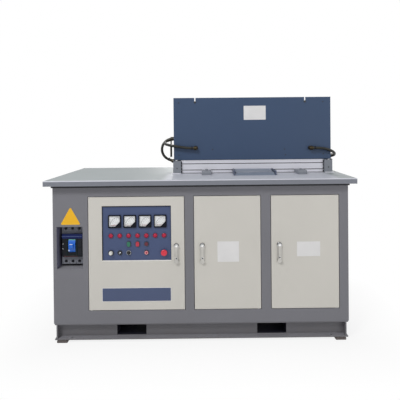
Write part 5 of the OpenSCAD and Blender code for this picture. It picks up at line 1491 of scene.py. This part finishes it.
class HEATER_OT_screws(bpy.types.Operator):
    """Drive the screws and bolts"""
    bl_idname = "heater.screws"
    bl_label = "Screws"

    def execute(self, context):
        radius = context.scene.heater_sizes.screw
        dark = moulded("black_screw_oxide", "#22252B", 0.35)
        shield = low("coil_front_panel").y / MM
        panel = [(-155, 1530), (869, 1531), (84.5, 1198), (595, 1196), (601, 1155), (-155, 1160),
                 (869, 1160)]
        self.screws("shield_screws", [(x, shield, z) for x, z in panel], radius, dark)
        slot_row, block_row = 1533, 1068
        self.bolts("slot_bolts", [(x, shield, slot_row) for x in (-39, 741)], 6 * MM, dark)
        block_low, block_high = corners_mm("bed_end_blocks")
        self.screws("end_block_screws", [(x, block_low.y + 6, block_row) for x in (-168, 900)],
                    radius, dark)
        # Black oxide bolts on the end blocks' tops, also placed as painted shade where the front
        # panel's foot meets the blocks
        self.bolts("end_block_shade_bolts",
                   [(x, block_low.y + 16, block_high.z) for x in (-188, -156, 888, 920)],
                   9 * MM, dark, facing=(0, 0, 0))
        return {"FINISHED"}

    def bolts(self, name, spots, radius, material, facing=(math.pi / 2, 0, 0)):
        """Hexagon heads at places in millimetres, facing forwards unless turned."""
        return evaluated(name, points_mesh(name, spots), tree_named("hexagon_heads", bolt_tree),
                         {"Radius": radius, "Height": radius * 0.6, "Facing": facing,
                          "Finish": material}, "cabinet")

    def screws(self, name, spots, radius, material):
        """Cross-head screws at places in millimetres, facing forwards."""
        return evaluated(name, points_mesh(name, spots), tree_named("screw_heads", screw_tree),
                         {"Radius": radius, "Height": 2 * MM, "Slot": radius * 0.28,
                          "Finish": material}, "cabinet")


class HEATER_PT_panel(bpy.types.Panel):
    """The machine's finishing steps"""
    bl_idname = "HEATER_PT_panel"
    bl_label = "Induction Heating Machine"
    bl_space_type = "VIEW_3D"
    bl_region_type = "UI"
    bl_category = "Heater"

    def draw(self, context):
        scene = context.scene
        for settings in (scene.heater_colours, scene.heater_sizes, scene.heater_view):
            for name in settings.__annotations__:
                self.layout.prop(settings, name)
        for step in STEPS:
            self.layout.operator(step.bl_idname)


STEPS = (
    HEATER_OT_camera, HEATER_OT_finishes, HEATER_OT_hoses, HEATER_OT_coil, HEATER_OT_meters,
    HEATER_OT_plates, HEATER_OT_locks, HEATER_OT_breaker, HEATER_OT_trim, HEATER_OT_inside,
    HEATER_OT_screws, HEATER_OT_stage,
)
CLASSES = (HeaterColours, HeaterSizes, HeaterView, *STEPS, HEATER_PT_panel)


def register():
    for cls in CLASSES:
        bpy.utils.register_class(cls)
    bpy.types.Scene.heater_colours = bpy.props.PointerProperty(type=HeaterColours)
    bpy.types.Scene.heater_sizes = bpy.props.PointerProperty(type=HeaterSizes)
    bpy.types.Scene.heater_view = bpy.props.PointerProperty(type=HeaterView)


def unregister():
    del bpy.types.Scene.heater_view
    del bpy.types.Scene.heater_sizes
    del bpy.types.Scene.heater_colours
    for cls in reversed(CLASSES):
        bpy.utils.unregister_class(cls)


def main():
    register()
    for step in STEPS:
        family, name = step.bl_idname.split(".")
        getattr(getattr(bpy.ops, family), name)()


if __name__ == "__main__":
    main()
